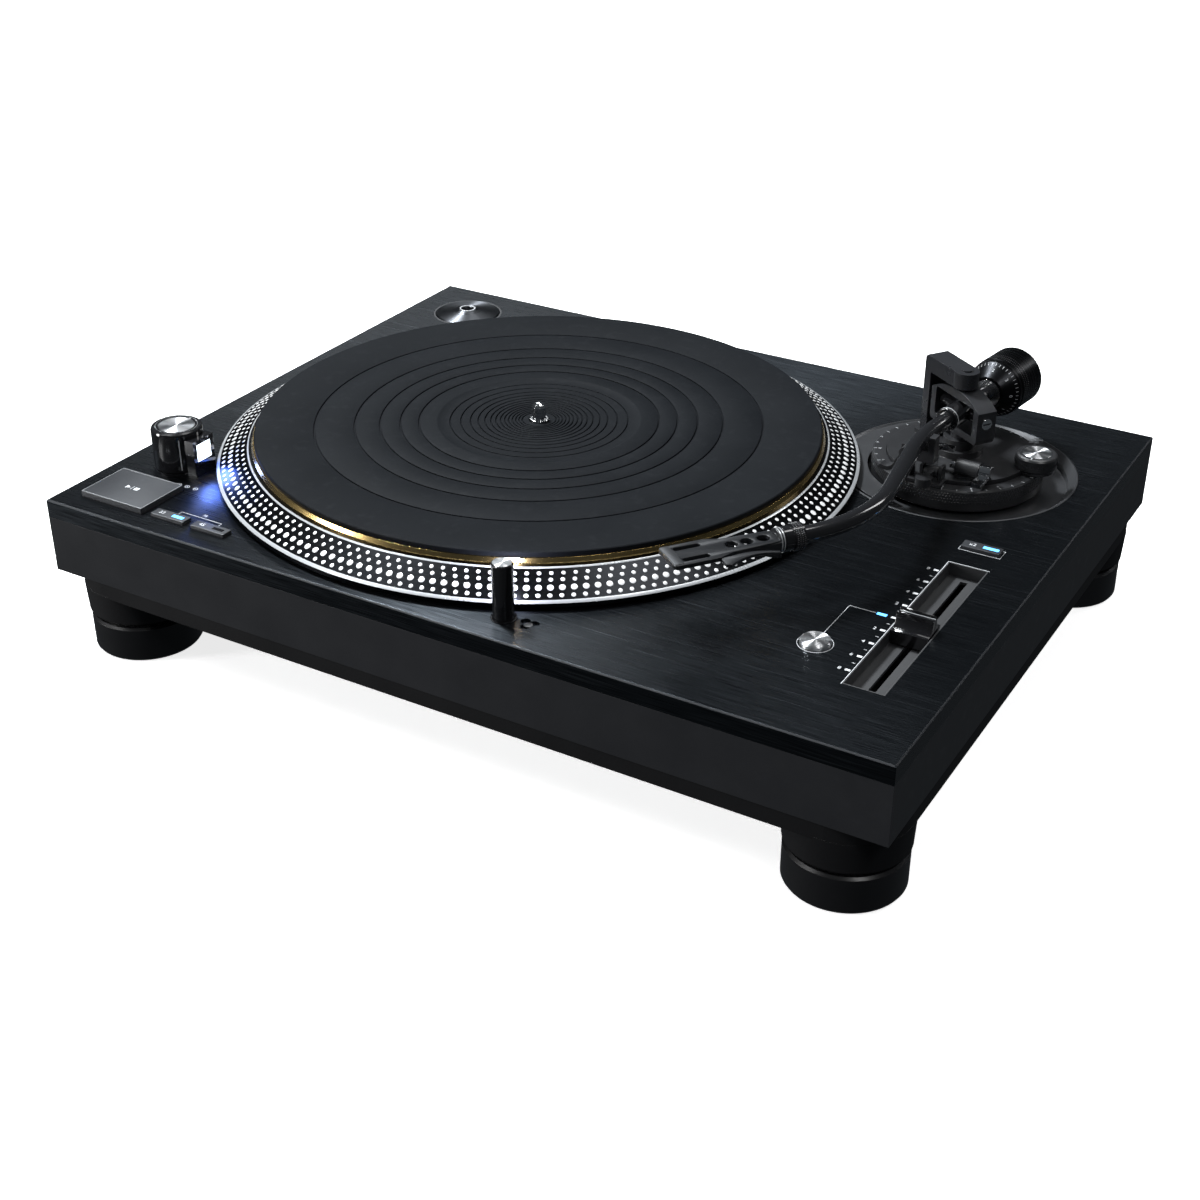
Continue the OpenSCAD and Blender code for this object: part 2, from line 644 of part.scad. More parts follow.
// Moving arm
module gimbal() {
    half_h = 11;
    color([0.16, 0.16, 0.17])
    at_arm() {
        rotate([0, 0, -gimbal_yaw]) translate([0, 0, arm_z]) rotate([90, 0, 0])
        linear_extrude(height = 2 * gimbal_deep, center = true) difference() {
            intersection() {
                translate([-gimbal_half, -half_h]) square([2 * gimbal_half, 2 * half_h + 1]);
                translate([0, -26]) circle(r = 38, $fn = 128);
                circle(r = 22.4, $fn = 96);
            }
            intersection() {
                square([2 * gimbal_half - 8, 2 * half_h - 7.4], center = true);
                circle(r = 17.5, $fn = 96);
            }
        }
        translate([0, 0, 6]) cylinder(r = 5, h = arm_z - 6 - half_h + 1);
        translate([0, 0, arm_z + half_h - 1]) cylinder(r = 2, h = 45.2 - gap - arm_z - half_h + 1);
    }
}
module gimbal_screws() {
    color([0.75, 0.75, 0.76])
    at_arm() rotate([0, 0, -gimbal_yaw]) for (s = [-1, 1])
        translate([s * (gimbal_half + 0.2), 0, arm_z]) rotate([0, 90, 0]) difference() {
            cylinder(r = 2.9, h = 0.4, center = true);
            cube([0.8, 4.4, 1], center = true);
        }
}
// Where the tube's stretches begin, worked out from the yaws and radii
tail_dir = [-sin(tail_yaw), -cos(tail_yaw)];
bend1_start = 24 * tail_dir;
bend1_centre = bend1_start + bend1_r * [cos(tail_yaw), -sin(tail_yaw)];
bend1_end = bend1_centre + bend1_r * [-cos(mid_yaw), -sin(mid_yaw)];
mid_end = bend1_end + mid_l * [sin(mid_yaw), -cos(mid_yaw)];
bend2_centre = mid_end + bend2_r * [-cos(mid_yaw), -sin(mid_yaw)];
bend2_end = bend2_centre + bend2_r * [cos(shell_yaw), -sin(shell_yaw)];
shell_dir = [-sin(shell_yaw), -cos(shell_yaw)];
tube_end = bend2_end + 2 * shell_dir;
shell_at = tube_end + collar_l * shell_dir;
// A straight stretch, which laps over the ends of the bends next to it
module straight(from, to, r, lap = 0.3) {
    d = to - from;
    translate([from[0], from[1], 0]) rotate([0, 0, atan2(d[1], d[0])])
        translate([-lap, 0, 0]) rotate([0, 90, 0]) cylinder(r = r, h = norm(d) + 2 * lap, $fn = 48);
}
module bend(centre, radius, from, sweep, r) {
    translate([centre[0], centre[1], 0]) rotate([0, 0, from])
        rotate_extrude(angle = sweep, $fn = 128) translate([radius, 0]) circle(r = r, $fn = 48);
}
module arm_tube() {
    color([0.05, 0.05, 0.055])
    at_arm() translate([0, 0, arm_z]) {
        straight([0, 0], bend1_start, tube_r);
        bend(bend1_centre, bend1_r, 180 - tail_yaw, tail_yaw + mid_yaw, tube_r - 0.06);
        straight(bend1_end, mid_end, tube_r);
        bend(bend2_centre, bend2_r, -shell_yaw, shell_yaw + mid_yaw, tube_r - 0.06);
        straight(bend2_end, tube_end, tube_r);
        straight(3 * tail_dir, 17 * tail_dir, 6);
        straight([0, 0], -60 * tail_dir, 4);
        rotate([0, 0, -gimbal_yaw]) rotate([0, 90, 0]) cylinder(r = 3, h = 2 * (gimbal_half - 4) - 0.8, center = true);
    }
}
module at_shell() {
    at_arm() translate([shell_at[0], shell_at[1], arm_z])
        rotate([0, 0, atan2(shell_dir[1], shell_dir[0])]) children();
}
module headshell() {
    color([0.13, 0.13, 0.14])
    at_shell() {
        difference() {
            translate([0, 0, 0.5]) linear_extrude(height = 2.2) polygon([
                [0, -5.4], [24, -6.6], [31, -9.2], [shell_l, -9.2],
                [shell_l, 9.2], [31, 9.2], [24, 6.6], [0, 5.4]]);
            for (x = [6.5, 14.5, 22]) translate([x, 0, 0]) cylinder(r = 2.9, h = 6);
            for (s = [-1, 1], x = [36, 41, 46]) translate([x, s * 6.35 * 0.8, 0]) cylinder(r = 1.5, h = 6);
            for (s = [-1, 1]) translate([36, s * 6.35 * 0.8 - 1.5, 0]) cube([10, 3, 6]);
        }
        // Side cheeks and finger lift
        for (s = [-1, 1]) translate([0, s * 5.3 - 0.6, 0]) rotate([90, 0, 0]) translate([0, 0, -1.2])
            linear_extrude(height = 1.2) polygon([[0, 2], [0, -6], [4, -5.4], [12, -1.5], [24, 1]]);
        translate([15, 9, 0.5]) rotate([0, 0, 24]) cube([14, 1.6, 1.6]);
        translate([5.5, 12.6, 0.5]) rotate([0, 0, -14]) cube([11, 1.6, 1.6]);
        translate([27, 8.4, 0.5]) cube([4, 6.6, 1.6]);
        // Bayonet plug behind the shell
        translate([-2.3, 0, 0]) rotate([0, 90, 0]) cylinder(r = 5.6, h = 2.3);
        translate([-7, 0, 0]) rotate([0, 90, 0]) cylinder(r = 3.9, h = 8);
    }
}
module locking_collar() {
    color([0.06, 0.06, 0.06])
    at_shell() rotate([0, 90, 0]) {
        difference() {
            union() {
                translate([0, 0, -12.3]) cylinder(r = 6.3, h = 5.4);
                translate([0, 0, -7]) cylinder(r = 5.7, h = 4.5);
            }
            translate([0, 0, -13]) cylinder(r = tube_r + run, h = 12);
        }
    }
}
module at_tail() {
    at_arm() translate([0, 0, arm_z]) rotate([0, 0, 90 - tail_yaw]) rotate([0, 90, 0]) children();
}
module weight_core() {
    color([0.6, 0.6, 0.62]) at_tail() ring(7, 25.5, 57.6, 4 + run);
}
module counterweight() {
    color([0.07, 0.07, 0.075])
    at_tail() rotate_extrude($fn = 96) polygon([
        [7 + run, 35.6], [weight_r - 0.6, 35.6], [weight_r, 36.2], [weight_r, 55.8],
        [weight_r - 1.2, 57], [9.5, 57], [9.5, 55.5], [7 + run, 55.5]]);
}
module pressure_dial() {
    color([0.09, 0.09, 0.095])
    at_tail() rotate_extrude($fn = 96) polygon([
        [7 + run, 25.8], [8.6, 25.8], [weight_r - 0.8, 33.4], [weight_r - 0.3, 33.6],
        [weight_r - 0.3, 35.3], [7 + run, 35.3]]);
}

top_panel();
chassis();
base_cover();
base_screws();
power_supply();
control_board();
terminal_plate();
phono_jacks();
ground_terminal();
mains_inlet();
foot_front_left();
foot_front_right();
foot_rear_left();
foot_rear_right();
motor_board();
motor_coils();
bearing_sleeve();
rotor();
rotor_magnet();
spindle();
platter();
platter_damper();
brass_disc();
rubber_mat();
strobe_housing();
strobe_window();
power_knob();
start_stop_button();
speed_33_button();
speed_45_button();
pitch_reset_button();
pitch_range_button();
lamp_release_button();
target_lamp();
lamp_collar();
pitch_tray();
pitch_slider();
adaptor_cup();
record_adaptor();
arm_well();
well_plate();
arm_socket();
height_ring();
arm_base();
antiskate_knob();
lock_lever();
cue_lever();
lift_platform();
arm_rest();
arm_clamp();
pivot_bracket();
gimbal();
gimbal_screws();
arm_tube();
headshell();
locking_collar();
weight_core();
counterweight();
pressure_dial();
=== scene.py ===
"""Looks of a direct-drive record player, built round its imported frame.

Sizes are in metres and in the frame's own axes: +X right, +Y to the rear terminals, +Z up.
Each sub-assembly is a class: its fields hold its sizes, and its methods build and dress its pieces.
"""

import json
import logging
import math
from dataclasses import dataclass
from enum import Enum
from typing import Sequence

import bmesh
import bpy
from mathutils import Matrix, Vector


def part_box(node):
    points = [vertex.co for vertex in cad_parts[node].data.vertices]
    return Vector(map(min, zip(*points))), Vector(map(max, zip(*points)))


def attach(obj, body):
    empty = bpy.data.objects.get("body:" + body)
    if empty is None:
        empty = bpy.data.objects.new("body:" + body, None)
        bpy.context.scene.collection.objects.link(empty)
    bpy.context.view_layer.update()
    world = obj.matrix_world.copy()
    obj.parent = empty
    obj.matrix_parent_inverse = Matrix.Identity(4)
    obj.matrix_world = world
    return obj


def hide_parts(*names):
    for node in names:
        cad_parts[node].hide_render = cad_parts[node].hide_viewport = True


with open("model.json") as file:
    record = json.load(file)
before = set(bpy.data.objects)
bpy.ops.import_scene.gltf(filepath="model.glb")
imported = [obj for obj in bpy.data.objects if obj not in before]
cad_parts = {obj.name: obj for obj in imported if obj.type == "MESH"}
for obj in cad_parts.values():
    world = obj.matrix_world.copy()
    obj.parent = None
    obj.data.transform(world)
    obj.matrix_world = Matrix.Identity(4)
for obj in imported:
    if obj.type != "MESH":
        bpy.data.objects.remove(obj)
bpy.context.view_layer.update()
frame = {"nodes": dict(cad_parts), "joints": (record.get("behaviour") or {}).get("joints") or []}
LOG = logging.getLogger("record_player")
MM = 0.001
PRINT = 0.04 * MM
JOINTS = {joint["name"]: joint for joint in frame["joints"]}
DECK_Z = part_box("top_panel")[1].z
Point = tuple[float, float]
Colour = tuple[float, float, float]


# ---------------------------------------------------------------- shader tools
class Sock:
    """A shader socket, on which an expression adds Math nodes."""

    def __init__(self, tree: bpy.types.NodeTree, socket: bpy.types.NodeSocket) -> None:
        """Wrap a socket.

        Args:
            tree: The node tree that holds the socket.
            socket: The output socket to wrap.
        """
        self.tree = tree
        self.socket = socket

    def math(self, operation: str, *values: "Sock | float") -> "Sock":
        """Add one Math node.

        Args:
            operation: The node's operation.
            values: Its inputs, in order.

        Returns:
            The node's result.
        """
        node = self.tree.nodes.new("ShaderNodeMath")
        node.operation = operation
        for index, value in enumerate(values):
            if isinstance(value, Sock):
                self.tree.links.new(value.socket, node.inputs[index])
            else:
                node.inputs[index].default_value = value
        return Sock(self.tree, node.outputs[0])

    def __add__(self, other: "Sock | float") -> "Sock":
        """Sum of two values."""
        return self.math("ADD", self, other)

    def __radd__(self, other: float) -> "Sock":
        """Sum of a number and this value."""
        return self.math("ADD", other, self)

    def __sub__(self, other: "Sock | float") -> "Sock":
        """Difference of two values."""
        return self.math("SUBTRACT", self, other)

    def __rsub__(self, other: float) -> "Sock":
        """A number less this value."""
        return self.math("SUBTRACT", other, self)

    def __mul__(self, other: "Sock | float") -> "Sock":
        """Product of two values."""
        return self.math("MULTIPLY", self, other)

    def __rmul__(self, other: float) -> "Sock":
        """Product of a number and this value."""
        return self.math("MULTIPLY", other, self)

    def __truediv__(self, other: "Sock | float") -> "Sock":
        """Quotient of two values."""
        return self.math("DIVIDE", self, other)

    def __pow__(self, other: "Sock | float") -> "Sock":
        """This value raised to a power."""
        return self.math("POWER", self, other)

    def above(self, limit: float) -> "Sock":
        """1 where this value is over the limit, and 0 elsewhere."""
        return self.math("GREATER_THAN", self, limit)

    def clipped(self) -> "Sock":
        """This value kept between 0 and 1."""
        return self.math("MINIMUM", self.math("MAXIMUM", self, 0.0), 1.0)


class Paint:
    """The node tree of one material, with one method for each kind of step."""

    def __init__(self, name: str) -> None:
        """Start an empty material.

        Args:
            name: The material's name.
        """
        self.material = bpy.data.materials.new(name)
        self.material.use_nodes = True
        self.tree = self.material.node_tree
        self.tree.nodes.clear()

    def node(self, kind: str, settings: dict[str, object] | None = None,
             sockets: dict[str | int, object] | None = None) -> bpy.types.Node:
        """Add a node.

        Args:
            kind: The node's type.
            settings: Properties of the node, set first.
            sockets: Values or links, by socket name or number.

        Returns:
            The new node.
        """
        node = self.tree.nodes.new(kind)
        for key, value in (settings or {}).items():
            setattr(node, key, value)
        for key, value in (sockets or {}).items():
            if isinstance(value, Sock):
                self.tree.links.new(value.socket, node.inputs[key])
            else:
                node.inputs[key].default_value = value
        return node

    def out(self, node: bpy.types.Node, index: int = 0) -> Sock:
        """One output of a node, wrapped."""
        return Sock(self.tree, node.outputs[index])

    def place(self) -> Sock:
        """The point on the object, in metres."""
        return self.out(self.node("ShaderNodeTexCoord"), 3)

    def vector(self, operation: str, *values: object, index: int = 0) -> Sock:
        """Add one Vector Math node.

        Args:
            operation: The node's operation.
            values: Its inputs, in order.
            index: The output to return, 1 for a plain number.

        Returns:
            The node's result.
        """
        node = self.node("ShaderNodeVectorMath", {"operation": operation},
                         dict(enumerate(values)))
        return self.out(node, index)

    def noise(self, point: Sock, scale: float, detail: float = 2.0) -> Sock:
        """Soft noise between 0 and 1.

        Args:
            point: Where it is read.
            scale: Features per metre.
            detail: Octaves.

        Returns:
            The noise value.
        """
        node = self.node("ShaderNodeTexNoise", {},
                         {"Vector": point, "Scale": scale, "Detail": detail})
        return self.out(node)

    def streaks(self, point: Sock, along: float, across: float) -> Sock:
        """Noise drawn out along X, as brushing leaves it.

        Args:
            point: Where it is read.
            along: Features per metre along X.
            across: Features per metre across the grain.

        Returns:
            The streak value.
        """
        drawn = self.vector("MULTIPLY", point, (along, across, across))
        return self.noise(drawn, 1.0, 3.0)

    def turning(self, point: Sock, centre: Vector, axis: Vector, pitch: float) -> Sock:
        """Fine rings round an axis, as a lathe tool leaves them.

        Args:
            point: Where it is read.
            centre: A point on the axis.
            axis: The axis' direction.
            pitch: Size of one ring.

        Returns:
            A value that is the same all round each ring.
        """
        arm = self.vector("SUBTRACT", point, tuple(centre))
        length = self.vector("DOT_PRODUCT", arm, tuple(axis), index=1)
        node = self.node("ShaderNodeVectorMath", {"operation": "LENGTH"}, {0: arm})
        far = self.out(node, 1)
        radius = (far * far - length * length + 1e-12) ** 0.5
        rings = self.node("ShaderNodeTexNoise", {"noise_dimensions": "1D"},
                          {"W": (radius + length * 0.83) / pitch, "Scale": 1.0, "Detail": 2.0})
        return self.out(rings)

    def mix(self, factor: Sock | float, low: object, high: object) -> Sock:
        """Blend two colours.

        Args:
            factor: Share of the second colour.
            low: The first colour.
            high: The second colour.

        Returns:
            The blended colour.
        """
        fixed = [(*c, 1.0) if isinstance(c, tuple) else c for c in (low, high)]
        node = self.node("ShaderNodeMix", {"data_type": "RGBA"},
                         {0: factor, 6: fixed[0], 7: fixed[1]})
        return self.out(node, 2)

    def bump(self, height: Sock, distance: float, edge: float = 0.0) -> Sock:
        """Surface relief, over edges that are rounded by a radius.

        Args:
            height: The relief between 0 and 1.
            distance: Depth of the relief in metres.
            edge: Radius that softens the piece's edges, or 0.

        Returns:
            The bent normal.
        """
        sockets: dict[str | int, object] = {"Height": height, "Distance": distance}
        if edge:
            sockets["Normal"] = self.out(self.node("ShaderNodeBevel", {"samples": 4}, {"Radius": edge}))
        return self.out(self.node("ShaderNodeBump", {}, sockets))

    def surface(self, sockets: dict[str | int, object]) -> bpy.types.Material:
        """Close the tree with a Principled shader.

        Args:
            sockets: The shader's values and links.

        Returns:
            The finished material.
        """
        fixed = {k: (*v, 1.0) if isinstance(v, tuple) and len(v) == 3 else v for k, v in sockets.items()}
        shader = self.node("ShaderNodeBsdfPrincipled", {}, fixed)
        self.node("ShaderNodeOutputMaterial", {}, {"Surface": self.out(shader)})
        return self.material


# ---------------------------------------------------------------- finishes
@dataclass(frozen=True)
class Brushed:
    """Anodised metal brushed along X."""

    name: str
    colour: Colour
    rough: float = 0.3
    metal: float = 0.9

    def material(self) -> bpy.types.Material:
        """Long fine scratches with a few brighter ones."""
        paint = Paint(self.name)
        point = paint.place()
        fine = paint.streaks(point, 45.0, 2600.0)
        long = paint.streaks(point, 18.0, 900.0)
        cloud = paint.noise(point, 9.0)
        bright = ((long - 0.58) * 8.0).clipped()
        light = tuple(min(1.0, c * 2.6 + 0.02) for c in self.colour)
        shade = paint.mix((bright * 0.7 + (fine - 0.42) * 1.6).clipped(), self.colour, light)
        return paint.surface({
            "Base Color": shade, "Metallic": self.metal, "Anisotropic": 0.8, "Anisotropic Rotation": 0.25,
            "Roughness": self.rough + (fine - 0.5) * 0.24 + (cloud - 0.5) * 0.05 - bright * 0.06,
            "Normal": paint.bump(fine + long * 0.5, 0.03 * MM, 0.3 * MM)})


@dataclass(frozen=True)
class Coated:
    """Painted, moulded or rubber surface with a fine skin."""

    name: str
    colour: Colour
    rough: float = 0.45
    grain: float = 1400.0
    relief: float = 0.012
    metal: float = 0.0
    coat: float = 0.0
    edge: float = 0.25
    wear: float = 0.12
    gloss: float = 0.5

    def material(self) -> bpy.types.Material:
        """A fine skin, cloudy gloss and faint handling marks."""
        paint = Paint(self.name)
        point = paint.place()
        skin = paint.noise(point, self.grain, 3.0)
        cloud = paint.noise(point, 35.0, 3.0)
        rubbed = ((paint.noise(point, 160.0, 4.0) - 0.56) * 6.0).clipped()
        light = tuple(min(1.0, c * 1.25 + 0.004) for c in self.colour)
        dark = tuple(c * 0.86 for c in self.colour)
        return paint.surface({
            "Base Color": paint.mix((cloud * 0.8 + rubbed * 0.3).clipped(), dark, light),
            "Roughness": self.rough + (cloud - 0.5) * self.wear - rubbed * 0.04 + (skin - 0.5) * 0.05,
            "Metallic": self.metal, "Coat Weight": self.coat, "Coat Roughness": 0.08,
            "Specular IOR Level": self.gloss,
            "Normal": paint.bump(skin, self.relief * MM, self.edge * MM)})


@dataclass(frozen=True)
class Turned:
    """Metal turned or spun on a lathe, with rings round its axis."""

    name: str
    colour: Colour
    centre: tuple[float, float, float] = (0.0, 0.0, 0.0)
    axis: tuple[float, float, float] = (0.0, 0.0, 1.0)
    rough: float = 0.18
    pitch: float = 0.25
    relief: float = 0.02
    metal: float = 1.0
    spread: float = 0.0

    def material(self) -> bpy.types.Material:
        """Rings in the gloss and in the relief."""
        paint = Paint(self.name)
        point = paint.place()
        rings = paint.turning(point, Vector(self.centre), Vector(self.axis), self.pitch * MM)
        cloud = paint.noise(point, 120.0, 3.0)
        dark = tuple(c * 0.82 for c in self.colour)
        return paint.surface({
            "Base Color": paint.mix((rings * 0.8 + cloud * 0.4).clipped(), dark, self.colour),
            "Metallic": self.metal, "Anisotropic": self.spread, "Anisotropic Rotation": 0.25,
            "Roughness": self.rough + (rings - 0.5) * 0.12 + (cloud - 0.5) * 0.05,
            "Normal": paint.bump(rings, self.relief * MM, 0.12 * MM)})


@dataclass(frozen=True)
class Glow:
    """A lit window or lamp."""

    name: str
    colour: Colour
    strength: float

    def material(self) -> bpy.types.Material:
        """Light with a slightly uneven diffuser."""
        paint = Paint(self.name)
        cloud = paint.noise(paint.place(), 700.0)
        dim = tuple(c * 0.8 for c in self.colour)
        return paint.surface({
            "Base Color": self.colour, "Roughness": 0.3,
            "Emission Color": paint.mix(cloud, dim, self.colour), "Emission Strength": self.strength})


@dataclass(frozen=True)
class Board:
    """Circuit board with traces under its solder mask."""

    name: str
    colour: Colour

    def material(self) -> bpy.types.Material:
        """Straight traces in a lighter green."""
        paint = Paint(self.name)
        point = paint.place()
        across = paint.vector("MULTIPLY", point, (900.0, 40.0, 40.0))
        along = paint.vector("MULTIPLY", point, (40.0, 900.0, 40.0))
        lines = paint.noise(across, 1.0, 0.0).above(0.62) + paint.noise(along, 1.0, 0.0).above(0.62)
        light = tuple(min(1.0, c * 1.7) for c in self.colour)
        return paint.surface({
            "Base Color": paint.mix(lines.clipped(), self.colour, light), "Roughness": 0.35,
            "Normal": paint.bump(lines.clipped(), 0.03 * MM, 0.1 * MM)})


@dataclass(frozen=True)
class Backdrop:
    """Pale studio floor that gives off a little light of its own."""

    name: str
    colour: Colour
    strength: float

    def material(self) -> bpy.types.Material:
        """A faint cloud in the colour."""
        paint = Paint(self.name)
        cloud = paint.noise(paint.place(), 3.0)
        dim = tuple(c * 0.98 for c in self.colour)
        shade = paint.mix(cloud, dim, self.colour)
        return paint.surface({"Base Color": shade, "Roughness": 0.9, "Specular IOR Level": 0.1,
                              "Emission Color": shade, "Emission Strength": self.strength})


Finish = Brushed | Coated | Turned | Glow | Board | Backdrop


class Kit:
    """Materials that are already mixed, so that each finish is made once."""

    shelf: dict[str, bpy.types.Material] = {}

    @classmethod
    def get(cls, finish: Finish) -> bpy.types.Material:
        """The material of a finish, mixed the first time it is asked for."""
        if finish.name not in cls.shelf:
            cls.shelf[finish.name] = finish.material()
        return cls.shelf[finish.name]


class Look(Enum):
    """Finishes that several pieces share."""

    PANEL = Brushed("brushed_black_panel", (0.0135, 0.0165, 0.020), 0.30)
    CHASSIS = Coated("satin_chassis", (0.019, 0.020, 0.023), 0.45, 900.0, 0.02)
    BASE = Coated("moulded_base", (0.004, 0.004, 0.005), 0.6, 700.0, 0.05, gloss=0.3)
    FOOT = Coated("satin_foot", (0.008, 0.008, 0.009), 0.34, 900.0, 0.02)
    BUTTON = Coated("grey_button", (0.024, 0.026, 0.030), 0.46, 1800.0, 0.008, 0.4)
    ARM = Coated("satin_black_arm_base", (0.016, 0.0165, 0.018), 0.34, 1500.0, 0.01)
    YOKE = Coated("satin_black_gimbal", (0.022, 0.023, 0.026), 0.3, 1500.0, 0.008, 0.3)
    SHELL = Coated("satin_grey_headshell", (0.014, 0.015, 0.017), 0.34, 1500.0, 0.008, 0.3)
    PLATE = Coated("plain_grey_plate", (0.060, 0.062, 0.066), 0.36, 1500.0, 0.01, 0.6)
    GLOSS = Coated("gloss_black", (0.006, 0.006, 0.007), 0.13, 500.0, 0.003, 0.0, 0.6, 0.2, 0.04)
    TUBE = Coated("lacquered_tube", (0.007, 0.007, 0.008), 0.16, 400.0, 0.003, 0.0, 0.8, 0.1, 0.05)
    RUBBER = Coated("matt_rubber", (0.0040, 0.0050, 0.0065), 0.6, 2600.0, 0.02, gloss=0.05)
    TRAY = Coated("matt_tray", (0.030, 0.031, 0.033), 0.5, 1600.0, 0.02)
    PLASTIC = Coated("moulded_socket", (0.02, 0.02, 0.022), 0.5, 1200.0, 0.02)
    STEEL = Coated("plated_steel", (0.55, 0.56, 0.58), 0.28, 900.0, 0.006, 1.0)
    CHROME = Coated("bright_chrome", (0.80, 0.81, 0.83), 0.09, 400.0, 0.002, 1.0, 0.0, 0.15, 0.05)
    GOLD = Coated("gold_plate", (0.83, 0.60, 0.24), 0.2, 900.0, 0.004, 1.0)
    COPPER = Coated("enamelled_wire", (0.62, 0.26, 0.11), 0.3, 3500.0, 0.05, 0.9)
    MAGNET = Coated("sintered_magnet", (0.10, 0.10, 0.11), 0.5, 1500.0, 0.04, 0.6)
    BOARD = Board("solder_mask", (0.02, 0.13, 0.06))
    INK = Coated("white_print", (0.62, 0.64, 0.66), 0.5, 1500.0, 0.004, 0.0, 0.0, 0.02, 0.1)
    EDGE = Coated("bright_edge", (0.66, 0.68, 0.70), 0.26, 800.0, 0.004, 0.55, 0.0, 0.02, 0.1)
    BLUE = Glow("blue_light", (0.10, 0.42, 1.0), 3.0)
    WINDOW = Glow("strobe_light", (0.80, 0.93, 1.0), 7.0)


# ---------------------------------------------------------------- mesh tools
def fillet(points: Sequence[Point], radius: float, steps: int = 3) -> list[Point]:
    """Round the corners of a closed outline.

    Args:
        points: The outline's corners.
        radius: Radius of each round, or less where the sides are short.
        steps: Straight stretches in each round.

    Returns:
        The outline with round corners.
    """
    made: list[Point] = []
    count = len(points)
    for index, corner in enumerate(points):
        here, last, following = (Vector(points[i % count]) for i in (index, index - 1, index + 1))
        back, ahead = last - here, following - here
        if corner[0] < 1e-7 or min(back.length, ahead.length) < 1e-9:
            made.append(corner)
            continue
        angle = back.angle(ahead)
        if angle > math.radians(176) or angle < math.radians(4):
            made.append(corner)
            continue
        cut = min(radius / math.tan(angle / 2), 0.45 * back.length, 0.45 * ahead.length)
        start, end = here + back.normalized() * cut, here + ahead.normalized() * cut
        for step in range(steps + 1):
            t = step / steps
            point = start * (1 - t) ** 2 + here * 2 * t * (1 - t) + end * t ** 2
            made.append((point.x, point.y))
    return made


def closed_mesh(name: str, build: bmesh.types.BMesh) -> bpy.types.Mesh:
    """Turn a bmesh into a mesh whose faces point outwards.

    Args:
        name: Name of the mesh.
        build: The shape, which is freed.

    Returns:
        The mesh.
    """
    bmesh.ops.remove_doubles(build, verts=build.verts, dist=1e-7)
    bmesh.ops.dissolve_degenerate(build, edges=build.edges, dist=1e-8)
    bmesh.ops.recalc_face_normals(build, faces=build.faces)
    mesh = bpy.data.meshes.new(name)
    build.to_mesh(mesh)
    build.free()
    return mesh


def lathe(name: str, profile: Sequence[Point], segments: int = 96) -> bpy.types.Mesh:
    """Turn a closed outline round Z.

    Args:
        name: Name of the mesh.
        profile: Radius and height of each corner of the outline.
        segments: Steps round the axis.

    Returns:
        A closed mesh.
    """
    build = bmesh.new()
    rings = []
    for step in range(segments):
        angle = 2 * math.pi * step / segments
        rings.append([build.verts.new((r * math.cos(angle), r * math.sin(angle), z)) for r, z in profile])
    for step in range(segments):
        here, ahead = rings[step], rings[(step + 1) % segments]
        for index in range(len(profile)):
            nxt = (index + 1) % len(profile)
            if profile[index][0] < 1e-9 and profile[nxt][0] < 1e-9:
                continue
            build.faces.new((here[index], ahead[index], ahead[nxt], here[nxt]))
    return closed_mesh(name, build)


def plate(name: str, outlines: Sequence[Sequence[Point]], low: float, high: float,
          bevel: float = 0.0) -> bpy.types.Mesh:
    """A flat plate with holes and bevelled edges.

    Args:
        name: Name of the mesh.
        outlines: The outer outline and then those of the holes.
        low: Height of the lower face.
        high: Height of the upper face.
        bevel: Radius of the round along its edges.

    Returns:
        A closed mesh.
    """
    curve = bpy.data.curves.new(name, "CURVE")
    curve.dimensions = "2D"
    curve.fill_mode = "BOTH"
    curve.extrude = (high - low) / 2 - bevel
    curve.bevel_depth = bevel
    curve.bevel_resolution = 1
    curve.offset = -bevel
    for outline in outlines:
        spline = curve.splines.new("POLY")
        spline.points.add(len(outline) - 1)
        spline.use_cyclic_u = True
        for point, (x, y) in zip(spline.points, outline):
            point.co = (x, y, 0.0, 1.0)
    return settled(curve, Matrix.Translation((0, 0, (low + high) / 2)))


def settled(curve: bpy.types.Curve, place: Matrix) -> bpy.types.Mesh:
    """Make a mesh of a curve or text, then move its points.

    Args:
        curve: The curve or text, which is removed.
        place: Where its points go.

    Returns:
        A closed mesh.
    """
    holder = bpy.data.objects.new(curve.name, curve)
    bpy.context.scene.collection.objects.link(holder)
    deps = bpy.context.evaluated_depsgraph_get()
    rough = bpy.data.meshes.new_from_object(holder.evaluated_get(deps))
    bpy.data.objects.remove(holder)
    build = bmesh.new()
    build.from_mesh(rough)
    bpy.data.meshes.remove(rough)
    build.transform(place)
    return closed_mesh(curve.name, build)


def word(name: str, letters: str, size: float, depth: float = PRINT) -> bpy.types.Mesh:
    """Numerals or a sign, flat on Z = 0 and centred.

    Args:
        name: Name of the mesh.
        letters: What it says.
        size: Height of the letters.
        depth: Thickness of the print.

    Returns:
        A closed mesh.
    """
    text = bpy.data.curves.new(name, "FONT")
    text.body = letters
    text.size = size
    text.align_x = "CENTER"
    text.align_y = "CENTER"
    text.resolution_u = 3
    text.extrude = depth / 2
    return settled(text, Matrix.Translation((0, 0, depth / 2)))


def oblong(width: float, depth: float, corner: float, centre: Point = (0.0, 0.0),
           steps: int = 5) -> list[Point]:
    """Outline of a rectangle with round corners."""
    half_w, half_d = width / 2, depth / 2
    square = [(-half_w, -half_d), (half_w, -half_d), (half_w, half_d), (-half_w, half_d)]
    moved = [(x + centre[0] + 1.0, y + centre[1] + 1.0) for x, y in square]
    return [(x - 1.0, y - 1.0) for x, y in fillet(moved, corner, steps)]


